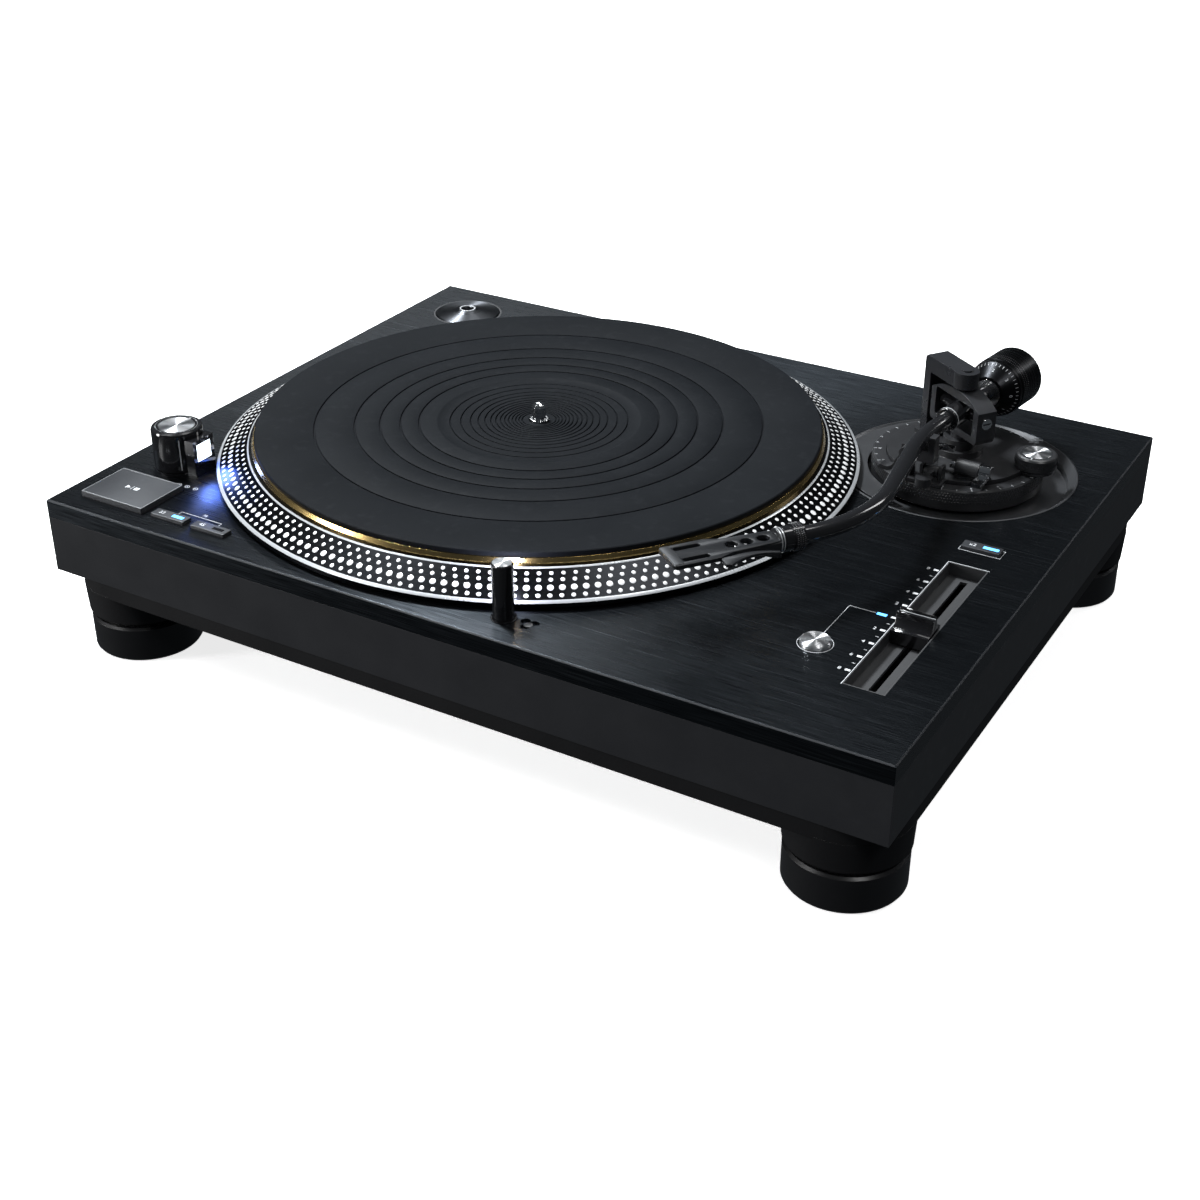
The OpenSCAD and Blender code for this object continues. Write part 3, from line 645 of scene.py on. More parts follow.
def disc(radius: float, centre: Point = (0.0, 0.0), steps: int = 40, start: float = 0.0,
         sweep: float = 2 * math.pi) -> list[Point]:
    """Outline of a circle, or of part of one."""
    whole = sweep > 6.28
    count = steps if whole else steps + 1
    return [(centre[0] + radius * math.cos(start + sweep * i / steps),
             centre[1] + radius * math.sin(start + sweep * i / steps)) for i in range(count)]


def tube(name: str, path: Sequence[Vector], radii: Sequence[float], sides: int = 20) -> bpy.types.Mesh:
    """A closed rod along a path that lies level or bends gently.

    Args:
        name: Name of the mesh.
        path: Points along its middle.
        radii: Radius at each point.
        sides: Flats round it.

    Returns:
        A closed mesh.
    """
    build = bmesh.new()
    rings = []
    for index, point in enumerate(path):
        ahead = path[min(index + 1, len(path) - 1)] - path[max(index - 1, 0)]
        across = ahead.cross(Vector((0, 0, 1)))
        across = across.normalized() if across.length > 1e-9 else Vector((1, 0, 0))
        up = across.cross(ahead).normalized()
        ring = []
        for side in range(sides):
            angle = 2 * math.pi * side / sides
            spoke = across * math.cos(angle) + up * math.sin(angle)
            ring.append(build.verts.new(point + spoke * radii[index]))
        rings.append(ring)
    for here, nxt in zip(rings, rings[1:]):
        for side in range(sides):
            other = (side + 1) % sides
            build.faces.new((here[side], here[other], nxt[other], nxt[side]))
    build.faces.new(rings[0])
    build.faces.new(rings[-1])
    return closed_mesh(name, build)


def joined(name: str, parts: Sequence[tuple[bpy.types.Mesh, Matrix]]) -> bpy.types.Mesh:
    """Several meshes in one, each moved to its place."""
    build = bmesh.new()
    for mesh, matrix in parts:
        copy = mesh.copy()
        copy.transform(matrix)
        build.from_mesh(copy)
        bpy.data.meshes.remove(copy)
    made = bpy.data.meshes.new(name)
    build.to_mesh(made)
    build.free()
    return made


def mm(*points: Point) -> list[Point]:
    """Points that are given in millimetres."""
    return [(x * MM, y * MM) for x, y in points]


def rotated(degrees: float, about: str) -> Matrix:
    """A turn about one of the main axes."""
    return Matrix.Rotation(math.radians(degrees), 4, about)


def spun_top(name: str, colour: Colour, spot: Sequence[float], pitch: float = 0.3) -> "Turned":
    """Finish of a small spun steel top."""
    return Turned(name, colour, spot, rough=0.36, pitch=pitch, relief=0.01, spread=0.95)


def at(x: float, y: float, z: float = 0.0, turn: float = 0.0) -> Matrix:
    """A move, after a turn about Z in degrees."""
    return Matrix.Translation((x, y, z)) @ rotated(turn, "Z")


def along(origin: Vector, axis: Vector, up: Vector = Vector((0, 0, 1))) -> Matrix:
    """A frame whose Z runs along an axis, and whose Y is as near to up as it can be."""
    z = axis.normalized()
    x = up.cross(z).normalized()
    y = z.cross(x)
    turn = Matrix((x, y, z)).transposed().to_4x4()
    return Matrix.Translation(origin) @ turn


def piece(name: str, mesh: bpy.types.Mesh, look: Look | Finish, body: str,
          place: Matrix | None = None, stands_for: Sequence[str] = (),
          sharp: float = 32.0) -> bpy.types.Object:
    """Put a finished mesh into the scene.

    Args:
        name: Name of the piece.
        mesh: Its shape.
        look: Its finish.
        body: The frame's body that it rides on.
        place: Where its points go.
        stands_for: Nodes of the frame that it replaces.
        sharp: Edges over this angle stay sharp.

    Returns:
        The new object.
    """
    if place is not None:
        mesh.transform(place)
    mesh.shade_smooth()
    mesh.set_sharp_from_angle(angle=math.radians(sharp))
    mesh.materials.clear()
    mesh.materials.append(Kit.get(look.value if isinstance(look, Look) else look))
    made = bpy.data.objects.new(name, mesh)
    bpy.context.scene.collection.objects.link(made)
    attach(made, body)
    if stands_for:
        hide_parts(*stands_for)
    LOG.info("%s on %s: %d faces", name, body, len(mesh.polygons))
    return made


def dress(look: Look | Finish, *nodes: str) -> None:
    """Give a finish to nodes of the frame, in their own slots."""
    material = Kit.get(look.value if isinstance(look, Look) else look)
    for node in nodes:
        thing = frame["nodes"][node]
        for slot in thing.material_slots:
            slot.material = material
        LOG.info("%s dressed in %s", node, material.name)


def middle(node: str) -> Vector:
    """Middle of a node's box."""
    low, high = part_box(node)
    return (low + high) / 2


def pivot(joint: str) -> Vector:
    """The point on a joint's axis."""
    return Vector(JOINTS[joint]["pos_m"])


def axis(joint: str) -> Vector:
    """The direction of a joint's axis."""
    return Vector(JOINTS[joint]["axis"]).normalized()


# ---------------------------------------------------------------- copies by Geometry Nodes
@dataclass
class Copies:
    """Rows of one small mesh round Z: its X points outwards and its Z up, before the tilt."""

    count: int
    radius: float
    rows: int = 1
    widen: float = 0.0
    rise: float = 0.0
    stagger: float = 0.0
    start: float = 0.0
    sweep: float = 360.0
    tilt: float = 0.0

    @staticmethod
    def group() -> bpy.types.NodeTree:
        """The node group that every ring shares, built the first time."""
        known = bpy.data.node_groups.get("ring_of_copies")
        if known:
            return known
        tree = bpy.data.node_groups.new("ring_of_copies", "GeometryNodeTree")
        face = tree.interface
        face.new_socket("Geometry", in_out="OUTPUT", socket_type="NodeSocketGeometry")
        face.new_socket("Geometry", in_out="INPUT", socket_type="NodeSocketGeometry")
        for name in ("Count", "Rows"):
            face.new_socket(name, in_out="INPUT", socket_type="NodeSocketInt")
        for name in ("Radius", "Widen", "Rise", "Stagger", "Start", "Sweep", "Tilt"):
            face.new_socket(name, in_out="INPUT", socket_type="NodeSocketFloat")
        face.new_socket("Material", in_out="INPUT", socket_type="NodeSocketMaterial")
        given = tree.nodes.new("NodeGroupInput")

        def wrap(name: str) -> Sock:
            """One of the group's inputs."""
            return Sock(tree, given.outputs[name])

        def add(kind: str, links: dict[str | int, bpy.types.NodeSocket | Sock]) -> bpy.types.Node:
            """A node with its inputs linked."""
            node = tree.nodes.new(kind)
            for key, source in links.items():
                tree.links.new(source.socket if isinstance(source, Sock) else source, node.inputs[key])
            return node

        index = Sock(tree, add("GeometryNodeInputIndex", {}).outputs[0])
        row = (index / wrap("Count")).math("FLOOR", (index + 0.5) / wrap("Count"))
        column = index - row * wrap("Count")
        angle = wrap("Start") + wrap("Sweep") * (column + row * wrap("Stagger")) / wrap("Count")
        radius = wrap("Radius") + row * wrap("Widen")
        spot = add("ShaderNodeCombineXYZ", {0: radius * angle.math("COSINE", angle),
                                            1: radius * angle.math("SINE", angle),
                                            2: row * wrap("Rise")})
        turn = add("ShaderNodeCombineXYZ", {1: wrap("Tilt"), 2: angle})
        turned = add("FunctionNodeEulerToRotation", {0: turn.outputs[0]})
        points = add("GeometryNodePoints", {"Count": wrap("Count") * wrap("Rows"),
                                            "Position": spot.outputs[0]})
        copies = add("GeometryNodeInstanceOnPoints", {"Points": points.outputs[0],
                                                      "Instance": given.outputs["Geometry"],
                                                      "Rotation": turned.outputs[0]})
        real = add("GeometryNodeRealizeInstances", {0: copies.outputs[0]})
        painted = add("GeometryNodeSetMaterial", {"Geometry": real.outputs[0],
                                                  "Material": given.outputs["Material"]})
        end = tree.nodes.new("NodeGroupOutput")
        tree.links.new(painted.outputs[0], end.inputs[0])
        return tree

    def mesh(self, name: str, small: bpy.types.Mesh, look: Look) -> bpy.types.Mesh:
        """Set the copies out.

        Args:
            name: Name of the mesh.
            small: The mesh to copy.
            look: The finish of the copies.

        Returns:
            One plain mesh with every copy.
        """
        holder = bpy.data.objects.new(name + "_seed", small)
        bpy.context.scene.collection.objects.link(holder)
        modifier = holder.modifiers.new("ring", "NODES")
        modifier.node_group = self.group()
        values = {"Count": self.count, "Rows": self.rows, "Radius": self.radius, "Widen": self.widen,
                  "Rise": self.rise, "Stagger": self.stagger, "Start": math.radians(self.start),
                  "Sweep": math.radians(self.sweep), "Tilt": math.radians(self.tilt),
                  "Material": Kit.get(look.value)}
        for item in modifier.node_group.interface.items_tree:
            if item.in_out == "INPUT" and item.name in values:
                modifier[item.identifier] = values[item.name]
        deps = bpy.context.evaluated_depsgraph_get()
        made = bpy.data.meshes.new_from_object(holder.evaluated_get(deps))
        made.name = name
        bpy.data.objects.remove(holder)
        bpy.data.meshes.remove(small)
        return made


def pyramid(name: str, length: float, width: float, height: float, sunk: float = 0.1 * MM) -> bpy.types.Mesh:
    """One diamond of a knurl: X and Y are its half diagonals, and Z its rise."""
    build = bmesh.new()
    corners = ((length, 0, -sunk), (0, width, -sunk), (-length, 0, -sunk), (0, -width, -sunk))
    base = [build.verts.new(corner) for corner in corners]
    tip = build.verts.new((0, 0, height))
    build.faces.new(base)
    for index in range(4):
        build.faces.new((base[index], base[(index + 1) % 4], tip))
    return closed_mesh(name, build)


def bar(name: str, width: float, depth: float, height: float, sunk: float = 0.02 * MM) -> bpy.types.Mesh:
    """A small block that stands on Z = 0, sunk a little into what it stands on."""
    build = bmesh.new()
    bmesh.ops.create_cube(build, size=1.0)
    scale = Matrix.Diagonal((width, depth, height + sunk, 1))
    build.transform(Matrix.Translation((0, 0, (height - sunk) / 2)) @ scale)
    return closed_mesh(name, build)


def dome(name: str, radius: float, height: float) -> bpy.types.Mesh:
    """A low round stud."""
    return lathe(name, [(0.0, -0.05 * MM), (radius, -0.05 * MM), (radius, height * 0.4),
                        (radius * 0.7, height * 0.9), (0.0, height)], 14)


def line(points: Sequence[Point], width: float) -> bpy.types.Mesh:
    """A printed line through some points, flat on Z = 0."""
    parts = []
    for (x0, y0), (x1, y1) in zip(points, points[1:]):
        length = math.hypot(x1 - x0, y1 - y0)
        turn = math.degrees(math.atan2(y1 - y0, x1 - x0))
        parts.append((bar("line", length + width, width, PRINT), at((x0 + x1) / 2, (y0 + y1) / 2, 0, turn)))
    return joined("line", parts)


# ---------------------------------------------------------------- studio
@dataclass
class Studio:
    """Pale floor, soft lights and the camera."""

    eye: tuple[float, float, float] = (0.4246, -0.74005, 0.49656)
    azimuth: float = 30.495
    elevation: float = 29.895
    roll: float = -0.023
    lens: float = 55.113
    sensor: float = 36.0
    near: float = 0.01
    reach: float = 9.0
    front: Colour = (0.0, -0.16, 0.08)
    cool: Colour = (0.93, 0.97, 1.0)

    def camera(self) -> None:
        """Set the camera."""
        data = bpy.data.cameras.new("camera")
        data.lens = self.lens
        data.sensor_width = self.sensor
        data.clip_start = self.near
        made = bpy.data.objects.new("camera", data)
        made.location = self.eye
        made.rotation_euler = (math.radians(90 - self.elevation), math.radians(self.roll),
                               math.radians(self.azimuth))
        bpy.context.scene.collection.objects.link(made)
        bpy.context.scene.camera = made

    def light(self, name: str, where: Sequence[float], aim: Sequence[float], size: Point, watts: float,
              colour: Colour = (1.0, 1.0, 1.0)) -> None:
        """Hang one softbox.

        Args:
            name: Name of the light.
            where: Its place.
            aim: The point that it faces.
            size: Its width and height.
            watts: Its power.
            colour: Its colour.
        """
        data = bpy.data.lights.new(name, "AREA")
        data.shape = "RECTANGLE"
        data.size, data.size_y = size
        data.energy = watts
        data.color = colour
        made = bpy.data.objects.new(name, data)
        made.location = where
        made.rotation_euler = (Vector(aim) - Vector(where)).to_track_quat("-Z", "Y").to_euler()
        bpy.context.scene.collection.objects.link(made)

    def floor(self) -> None:
        """Lay the floor."""
        mesh = bpy.data.meshes.new("floor")
        corners = [(x * self.reach, y * self.reach, 0) for x, y in ((-1, -1), (1, -1), (1, 1), (-1, 1))]
        mesh.from_pydata(corners, [], [(0, 1, 2, 3)])
        mesh.materials.append(Kit.get(Backdrop("pale_floor", (0.95, 0.95, 0.95), 0.85)))
        made = bpy.data.objects.new("floor", mesh)
        bpy.context.scene.collection.objects.link(made)
        made.visible_glossy = False
        made.visible_diffuse = False

    def build(self) -> None:
        """Set up the whole studio."""
        self.camera()
        self.floor()
        world = bpy.data.worlds.new("studio")
        bpy.context.scene.world = world
        world.use_nodes = True
        sky = world.node_tree.nodes["Background"]
        sky.inputs[0].default_value = (0.80, 0.90, 1.0, 1.0)
        sky.inputs[1].default_value = 0.05
        view = bpy.context.scene.view_settings
        view.view_transform = "Standard"
        view.look = "None"
        self.light("top_box", (0.3, 0.9, 3.2), (0.0, 0.0, 0.0), (1.2, 1.2), 30.0)
        self.light("sheen_box", (-1.20, 0.35, 2.1), self.front, (0.36, 0.36), 120.0, self.cool)
        self.light("back_box", (-1.36, 1.80, 1.52), self.front, (0.60, 0.60), 4.0, self.cool)
        self.light("left_box", (-1.9, -1.7, 0.5), (0.0, 0.0, 0.05), (0.5, 0.8), 36.0)
        self.light("right_box", (1.4, 1.9, 1.5), (0.1, 0.0, 0.1), (0.30, 0.9), 7.0)
        self.light("edge_box", (-1.5, -1.45, 2.1), (0.0, 0.0, 0.1), (0.9, 0.3), 12.0)
        self.light("arm_box", (1.7, -1.2, 2.3), (0.15, 0.0, 0.1), (0.35, 0.8), 16.0)


# ---------------------------------------------------------------- sub-assemblies
@dataclass
class Casing:
    """Panel, body, base, feet and what is inside."""

    half: tuple[float, float] = (226.5 * MM, 176.5 * MM)
    chamfer: float = 0.7 * MM

    def edges(self) -> None:
        """Thin grey strips laid on the chamfers round the panel's top: a painted highlight for the light
        that the chamfers catch.
        """
        inset = self.chamfer / 2
        for number, name in enumerate(("front_chamfer_highlight", "right_chamfer_highlight", "rear_chamfer_highlight", "left_chamfer_highlight")):
            across, out = self.half if number % 2 == 0 else self.half[::-1]
            place = rotated(90 * number, "Z") @ at(0.0, inset - out, DECK_Z - inset) @ rotated(45, "X")
            # Painted highlight: grey strips, paler than the panel, stand in for the light caught by each
            # chamfer.
            mesh = bar(name, 2 * (across - self.chamfer), 0.9 * MM, 0.03 * MM)
            piece(name, mesh, Look.BUTTON, "deck", place)

    def build(self) -> None:
        """Dress the casing and its inner parts."""
        self.edges()
        dress(Look.PANEL, "top_panel")
        dress(Look.CHASSIS, "chassis")
        dress(Look.BASE, "base_cover")
        dress(Look.FOOT, "foot_front_left", "foot_front_right", "foot_rear_left", "foot_rear_right")
        dress(Look.STEEL, "base_screws", "power_supply", "rotor", "arm_socket")
        dress(Look.BOARD, "control_board", "motor_board")
        dress(Look.PLASTIC, "terminal_plate", "mains_inlet")
        dress(Look.GOLD, "phono_jacks")
        dress(Look.CHROME, "ground_terminal")
        dress(Look.COPPER, "motor_coils")
        dress(Look.MAGNET, "rotor_magnet")


DOT = Coated("bright_dot", (0.86, 0.87, 0.88), 0.28, 1200.0, 0.004, 0.25, 0.3, 0.0, 0.05)


@dataclass
class Platter:
    """Platter with its dotted rim, brass disc, mat and spindle."""

    inner: float = 149.0 * MM
    outer: float = 166.0 * MM
    top: float = 13.4 * MM
    low: float = 3.8 * MM
    mat_radius: float = 146.0 * MM
    mat_low: float = 16.6 * MM
    mat_top: float = 19.1 * MM
    bore: float = 5.3 * MM
    grooves: tuple[float, ...] = (115.5, 95.0, 82.0, 71.5, 62.0, 46.0, 40.5, 35.5, 31.5, 28.0, 25.0, 22.4,
                                  20.0, 17.8, 15.8, 13.9, 12.1, 10.4, 8.8)
    rows: tuple[tuple[float, int, float], ...] = ((152.1, 174, 0.95), (155.1, 180, 1.0),
                                                  (158.7, 186, 1.5), (162.3, 192, 1.05))

    def slope(self, radius: float) -> float:
        """Height of the sloping rim at a radius."""
        return self.top - (radius - self.inner) * (self.top - self.low) / (self.outer - self.inner)

    def band(self, name: str, start: float, end: float, look: Look, lift: float, place: Matrix) -> None:
        """A thin polished band on the slope, between two radii."""
        fall = (self.top - self.low) / (self.outer - self.inner)
        up = Vector((fall, 1.0)).normalized() * lift
        a, b = (start, self.slope(start)), (end, self.slope(end))
        mesh = lathe(name, [(a[0], a[1] - 0.1 * MM), (b[0], b[1] - 0.1 * MM),
                            (b[0] + up.x * 0.6, b[1] + up.y * 0.6), (b[0], b[1] + up.y),
                            (a[0] + up.x, a[1] + up.y)], 256)
        piece(name, mesh, look, "turntable", place)

    def mat(self, place: Matrix) -> None:
        """The rubber mat, with its grooves cut in."""
        step = self.mat_top - 0.5 * MM
        ridge = [(53.4, self.mat_top), (53.0, self.mat_top), (52.2, self.mat_top - 0.1 * MM), (51.2, step)]
        outline = [(self.bore, self.mat_low), (self.mat_radius, self.mat_low),
                   (self.mat_radius, self.mat_top - 0.7 * MM),
                   (self.mat_radius - 0.2 * MM, self.mat_top - 0.3 * MM),
                   (self.mat_radius - 0.7 * MM, self.mat_top)]
        for radius in sorted(self.grooves, reverse=True):
            if radius < 50 and ridge:
                outline += [(r * MM, z) for r, z in ridge]
                ridge = []
            wide = (0.75 if radius > 50 else 0.5) * MM
            level = self.mat_top if radius > 50 else step
            middle_r = radius * MM
            outline += [(middle_r + wide, level), (middle_r + wide * 0.6, level - 0.12 * MM),
                        (middle_r + wide * 0.45, level - 0.75 * MM),
                        (middle_r - wide * 0.45, level - 0.75 * MM),
                        (middle_r - wide * 0.6, level - 0.12 * MM), (middle_r - wide, level)]
        outline += [(self.bore + 0.4 * MM, step), (self.bore, step - 0.4 * MM)]
        piece("grooved_mat", lathe("grooved_mat", outline, 256), Look.RUBBER, "turntable",
              place, ("rubber_mat",), 25.0)

    def build(self) -> None:
        """Dress the platter, and add its rim, mat and rings."""
        centre = pivot("platter_spin")
        place = at(centre.x, centre.y, DECK_Z)
        spot = (centre.x, centre.y, 0.0)
        dress(Turned("turned_black_rim", (0.016, 0.017, 0.019), spot, rough=0.24, pitch=0.3, relief=0.012),
              "platter")
        dress(Turned("turned_brass_disc", (0.70, 0.50, 0.20), spot, rough=0.2, pitch=0.3), "brass_disc")
        dress(Turned("polished_spindle", (0.86, 0.87, 0.88), spot, rough=0.08, pitch=0.4, relief=0.004),
              "spindle")
        dress(Turned("turned_bearing", (0.60, 0.44, 0.20), spot, rough=0.25), "bearing_sleeve")
        dress(Coated("platter_underlay", (0.015, 0.015, 0.016), 0.7, 900.0, 0.05), "platter_damper")
        self.mat(place)
        self.band("rim_inner_line", 149.05 * MM, 149.9 * MM, Look.EDGE, 0.05 * MM, place)
        self.band("rim_outer_band", 164.3 * MM, 165.9 * MM, Look.EDGE, 0.06 * MM, place)
        tilt = math.degrees(math.atan2(self.top - self.low, self.outer - self.inner))
        for number, (radius, count, size) in enumerate(self.rows, 1):
            ring = Copies(count, radius * MM, tilt=tilt)
            mesh = ring.mesh(f"dots_row_{number}", dome("dot", size * MM, 0.22 * MM), Look.EDGE)
            mesh.transform(Matrix.Translation((0, 0, self.slope(radius * MM))))
            piece(f"dots_row_{number}", mesh, DOT, "turntable", place)
        foot = lathe("spindle_ring", fillet(mm((3.62, 19.0), (4.8, 19.0), (4.8, 19.4), (3.62, 19.4)),
                                            0.15 * MM), 64)
        piece("spindle_ring", foot, Look.CHROME, "turntable", place)


@dataclass
class LeftControls:
    """Knob with the strobe light, start key and speed keys."""

    start: Point = (-194.1 * MM, -149.4 * MM)
    key_33: Point = (-159.0 * MM, -160.4 * MM)
    key_45: Point = (-133.7 * MM, -160.4 * MM)
    knob: Point = (-194.9 * MM, -112.7 * MM)

    def key(self, name: str, node: str, body: str, centre: Point, size: Point, rise: float,
            look: Look) -> None:
        """One flat key, which replaces its plain node."""
        mesh = plate(name, [oblong(size[0], size[1], 0.5 * MM)], -8 * MM, rise, 0.35 * MM)
        piece(name, mesh, look, body, at(*centre, DECK_Z), (node,), 40.0)

    def knob_top(self) -> None:
        """Spun disc, dotted ring and line of the knob."""
        x, y = self.knob
        place = at(x, y, DECK_Z)
        spun = spun_top("spun_knob_top", (0.72, 0.73, 0.75), (x, y, 0.0))
        cap = lathe("knob_cap", fillet(mm((0, 22.3), (9.2, 22.3), (9.2, 22.85), (0, 22.85)),
                                       0.1 * MM), 96)
        piece("knob_cap", cap, spun, "knob", place)
        edge = Copies(72, 10.6 * MM).mesh("knob_dots", dome("dot", 0.16 * MM, 0.06 * MM), Look.EDGE)
        edge.transform(at(0, 0, 23 * MM))
        piece("knob_dots", edge, Look.EDGE, "knob", place)
        mark = bar("knob_mark", 0.5 * MM, 0.5 * MM, 16.6 * MM)
        piece("knob_mark", mark, Look.INK, "knob",
              place @ rotated(45, "Z") @ Matrix.Translation((0, -12.95 * MM, 3.2 * MM)))

    def marks(self) -> None:
        """Printed signs on the panel and on the keys."""
        deck = Matrix.Translation((0, 0, DECK_Z))
        signs = []
        for index in range(3):
            ring_x, ring_y = -181.0 * MM + index * 5.4 * MM, -130.0 * MM
            ring = plate("ring", [disc(1.3 * MM, steps=24), disc(1.05 * MM, steps=24)], 0, PRINT)
            signs.append((ring, at(ring_x, ring_y)))
            signs.append((bar("dash", 0.3 * MM, 1.3 * MM, PRINT), at(ring_x, ring_y, 0, 45 * index)))
        bracket = mm((-159.0, -155.4), (-159.0, -152.6), (-133.7, -152.6), (-133.7, -155.4))
        signs.append((line(bracket, 0.25 * MM), Matrix()))
        signs.append((word("label", "78", 2.6 * MM), at(-146.3 * MM, -150.2 * MM)))
        piece("left_panel_marks", joined("left_panel_marks", signs), Look.INK, "deck", deck)
        go = mm((-2.4, -1.5), (0.2, 0.0), (-2.4, 1.5))
        start_signs = [(plate("go", [go], 0, PRINT), at(-1.2 * MM, 0)),
                       (bar("halt", 2.6 * MM, 2.6 * MM, PRINT), at(3.0 * MM, 0)),
                       (bar("split", 0.25 * MM, 3.4 * MM, PRINT), at(0.2 * MM, 0))]
        piece("start_signs", joined("start_signs", start_signs), Look.INK, "start_button",
              at(*self.start, DECK_Z + 3 * MM))
        for number, centre, body in (("33", self.key_33, "button_33"), ("45", self.key_45, "button_45")):
            top = at(*centre, DECK_Z + 1.8 * MM)
            piece(f"sign_{number}", word(f"sign_{number}", number, 3.4 * MM), Look.INK, body,
                  top @ at(-5.4 * MM, 0))
            lit = number == "33"
            piece(f"light_{number}", bar("light", 6.6 * MM, 2.2 * MM, 0.05 * MM),
                  Look.BLUE if lit else Look.GLOSS, body, top @ at(4.6 * MM, 0))

    def build(self) -> None:
        """Dress the controls and add their details."""
        dress(Look.GLOSS, "power_knob", "strobe_housing")
        dress(Look.WINDOW, "strobe_window")
        large, small = mm((39.6, 30.4), (20.6, 6.2))
        for name, node, body, centre, size, rise in (
                ("start_key", "start_stop_button", "start_button", self.start, large, 3 * MM),
                ("key_33", "speed_33_button", "button_33", self.key_33, small, 1.8 * MM),
                ("key_45", "speed_45_button", "button_45", self.key_45, small, 1.8 * MM)):
            self.key(name, node, body, centre, size, rise, Look.BUTTON)
        rim = plate("start_rim", [oblong(39.0 * MM, 29.8 * MM, 0.4 * MM),
                                  oblong(38.6 * MM, 29.4 * MM, 0.4 * MM)],
                    -0.02 * MM, 0.03 * MM)
        piece("start_rim", rim, Look.EDGE, "start_button", at(*self.start, DECK_Z + 3 * MM))
        self.knob_top()
        self.marks()
        x, y = self.knob
        studio = Studio()
        studio.light("strobe_beam", (x + 18.2 * MM, y, DECK_Z + 12 * MM), (x + 60 * MM, y - 4 * MM, DECK_Z),
                     (10 * MM, 8 * MM), 0.006, (0.0, 0.12, 1.0))


@dataclass
class PitchControls:
    """Pitch tray, slider, scale, reset key and range key."""

    tray: Point = (193.2 * MM, -70.7 * MM)
    reset: Point = (160.5 * MM, -108.1 * MM)
    range_key: Point = (192.8 * MM, 8.9 * MM)
    slider_y: float = -74.6 * MM
    unit: float = 6.3 * MM

    def scale(self) -> None:
        """Ticks and numerals beside the tray."""
        parts = []
        for step in range(-8, 9):
            y = self.tray[1] - step * self.unit
            wide = step % 2 == 0
            size = (2.4 * MM, 1.5 * MM) if wide else (1.5 * MM, 0.25 * MM)
            parts.append((bar("tick", size[0], size[1], PRINT), at(181.4 * MM, y)))
            if wide and step:
                parts.append((word("numeral", str(abs(step)), 3.1 * MM), at(177.6 * MM, y)))
        guide = mm((160.1, -98.4), (160.1, -70.6), (172.6, -70.6))
        parts.append((line(guide, 0.25 * MM), Matrix()))
        x, y = self.tray
        half_w, half_l = 9.9 * MM, 61.5 * MM
        edge = [(x - half_w, y - half_l), (x - half_w, y + half_l), (x + half_w, y + half_l)]
        parts.append((line(edge, 0.28 * MM), Matrix()))
        kx, ky = self.range_key
        outline = [(kx - 10.3 * MM, ky - 4.1 * MM), (kx + 10.3 * MM, ky - 4.1 * MM),
                   (kx + 10.3 * MM, ky + 4.1 * MM), (kx - 10.3 * MM, ky + 4.1 * MM),
                   (kx - 10.3 * MM, ky - 4.1 * MM)]
        parts.append((line(outline, 0.22 * MM), Matrix()))
        ring = plate("ring", [disc(8.1 * MM), disc(7.85 * MM)], 0, PRINT)
        parts.append((ring, at(*self.reset)))
        piece("pitch_marks", joined("pitch_marks", parts), Look.INK, "deck",
              Matrix.Translation((0, 0, DECK_Z)))
        piece("pitch_light", bar("light", 4.6 * MM, 1.9 * MM, 0.08 * MM), Look.BLUE, "deck",
              at(175.7 * MM, self.tray[1], DECK_Z))

    def slide(self) -> None:
        """The slider with its scooped finger faces and bright ridge."""
        width = 17.2 * MM
        outline: list[Point] = mm((-7.5, -5.8), (7.5, -5.8), (7.5, 0.6))
        outline += [(12.5 * MM + 10.2 * MM * math.cos(a), 7.5 * MM + 10.2 * MM * math.sin(a))
                    for a in (math.radians(222 - 6 * i) for i in range(8))]
        outline += mm((1.9, 6.3), (-1.9, 6.3))
        outline += [(-12.5 * MM - 10.2 * MM * math.cos(a), 7.5 * MM + 10.2 * MM * math.sin(a))
                    for a in (math.radians(180 + 6 * i) for i in range(8))]
        outline += [(-7.5 * MM, 0.6 * MM)]
        mesh = plate("slider_cap", [outline], -width / 2, width / 2, 0.2 * MM)
        stem = bar("stem", 2.4 * MM, 4 * MM, 16 * MM)
        turn = rotated(90, "X")
        spin = rotated(90, "Z")
        whole = joined("slider_cap", [(mesh, spin @ turn), (stem, at(0, 0, -20 * MM))])
        place = at(self.tray[0], self.slider_y, DECK_Z)
        piece("slider_cap", whole, Look.GLOSS, "slider", place, ("pitch_slider",), 40.0)
        ridges = [(bar("ridge", 16.6 * MM, 0.35 * MM, 0.15 * MM), at(0, y * MM, 6.3 * MM))
                  for y in (-1.3, 1.3)]
        piece("slider_ridges", joined("slider_ridges", ridges), Look.EDGE, "slider", place)

    def build(self) -> None:
        """Dress the controls and add their details."""
        dress(Look.TRAY, "pitch_tray")
        x, y = self.reset
        dress(spun_top("spun_reset_key", (0.70, 0.71, 0.73), (x, y, 0.0)),
              "pitch_reset_button")
        mesh = plate("range_key", [oblong(19.2 * MM, 6.8 * MM, 0.5 * MM)], -8 * MM, 1.8 * MM, 0.35 * MM)
        top = at(*self.range_key, DECK_Z)
        piece("range_key", mesh, Look.BUTTON, "range_button", top, ("pitch_range_button",),
              40.0)
        piece("range_sign", word("range_sign", "x2", 3.4 * MM), Look.INK, "range_button",
              top @ at(-4.6 * MM, 0, 1.8 * MM))
        piece("range_light", bar("light", 7.6 * MM, 2.2 * MM, 0.05 * MM), Look.BLUE, "range_button",
              top @ at(4.4 * MM, 0, 1.8 * MM))
        self.slide()
        self.scale()


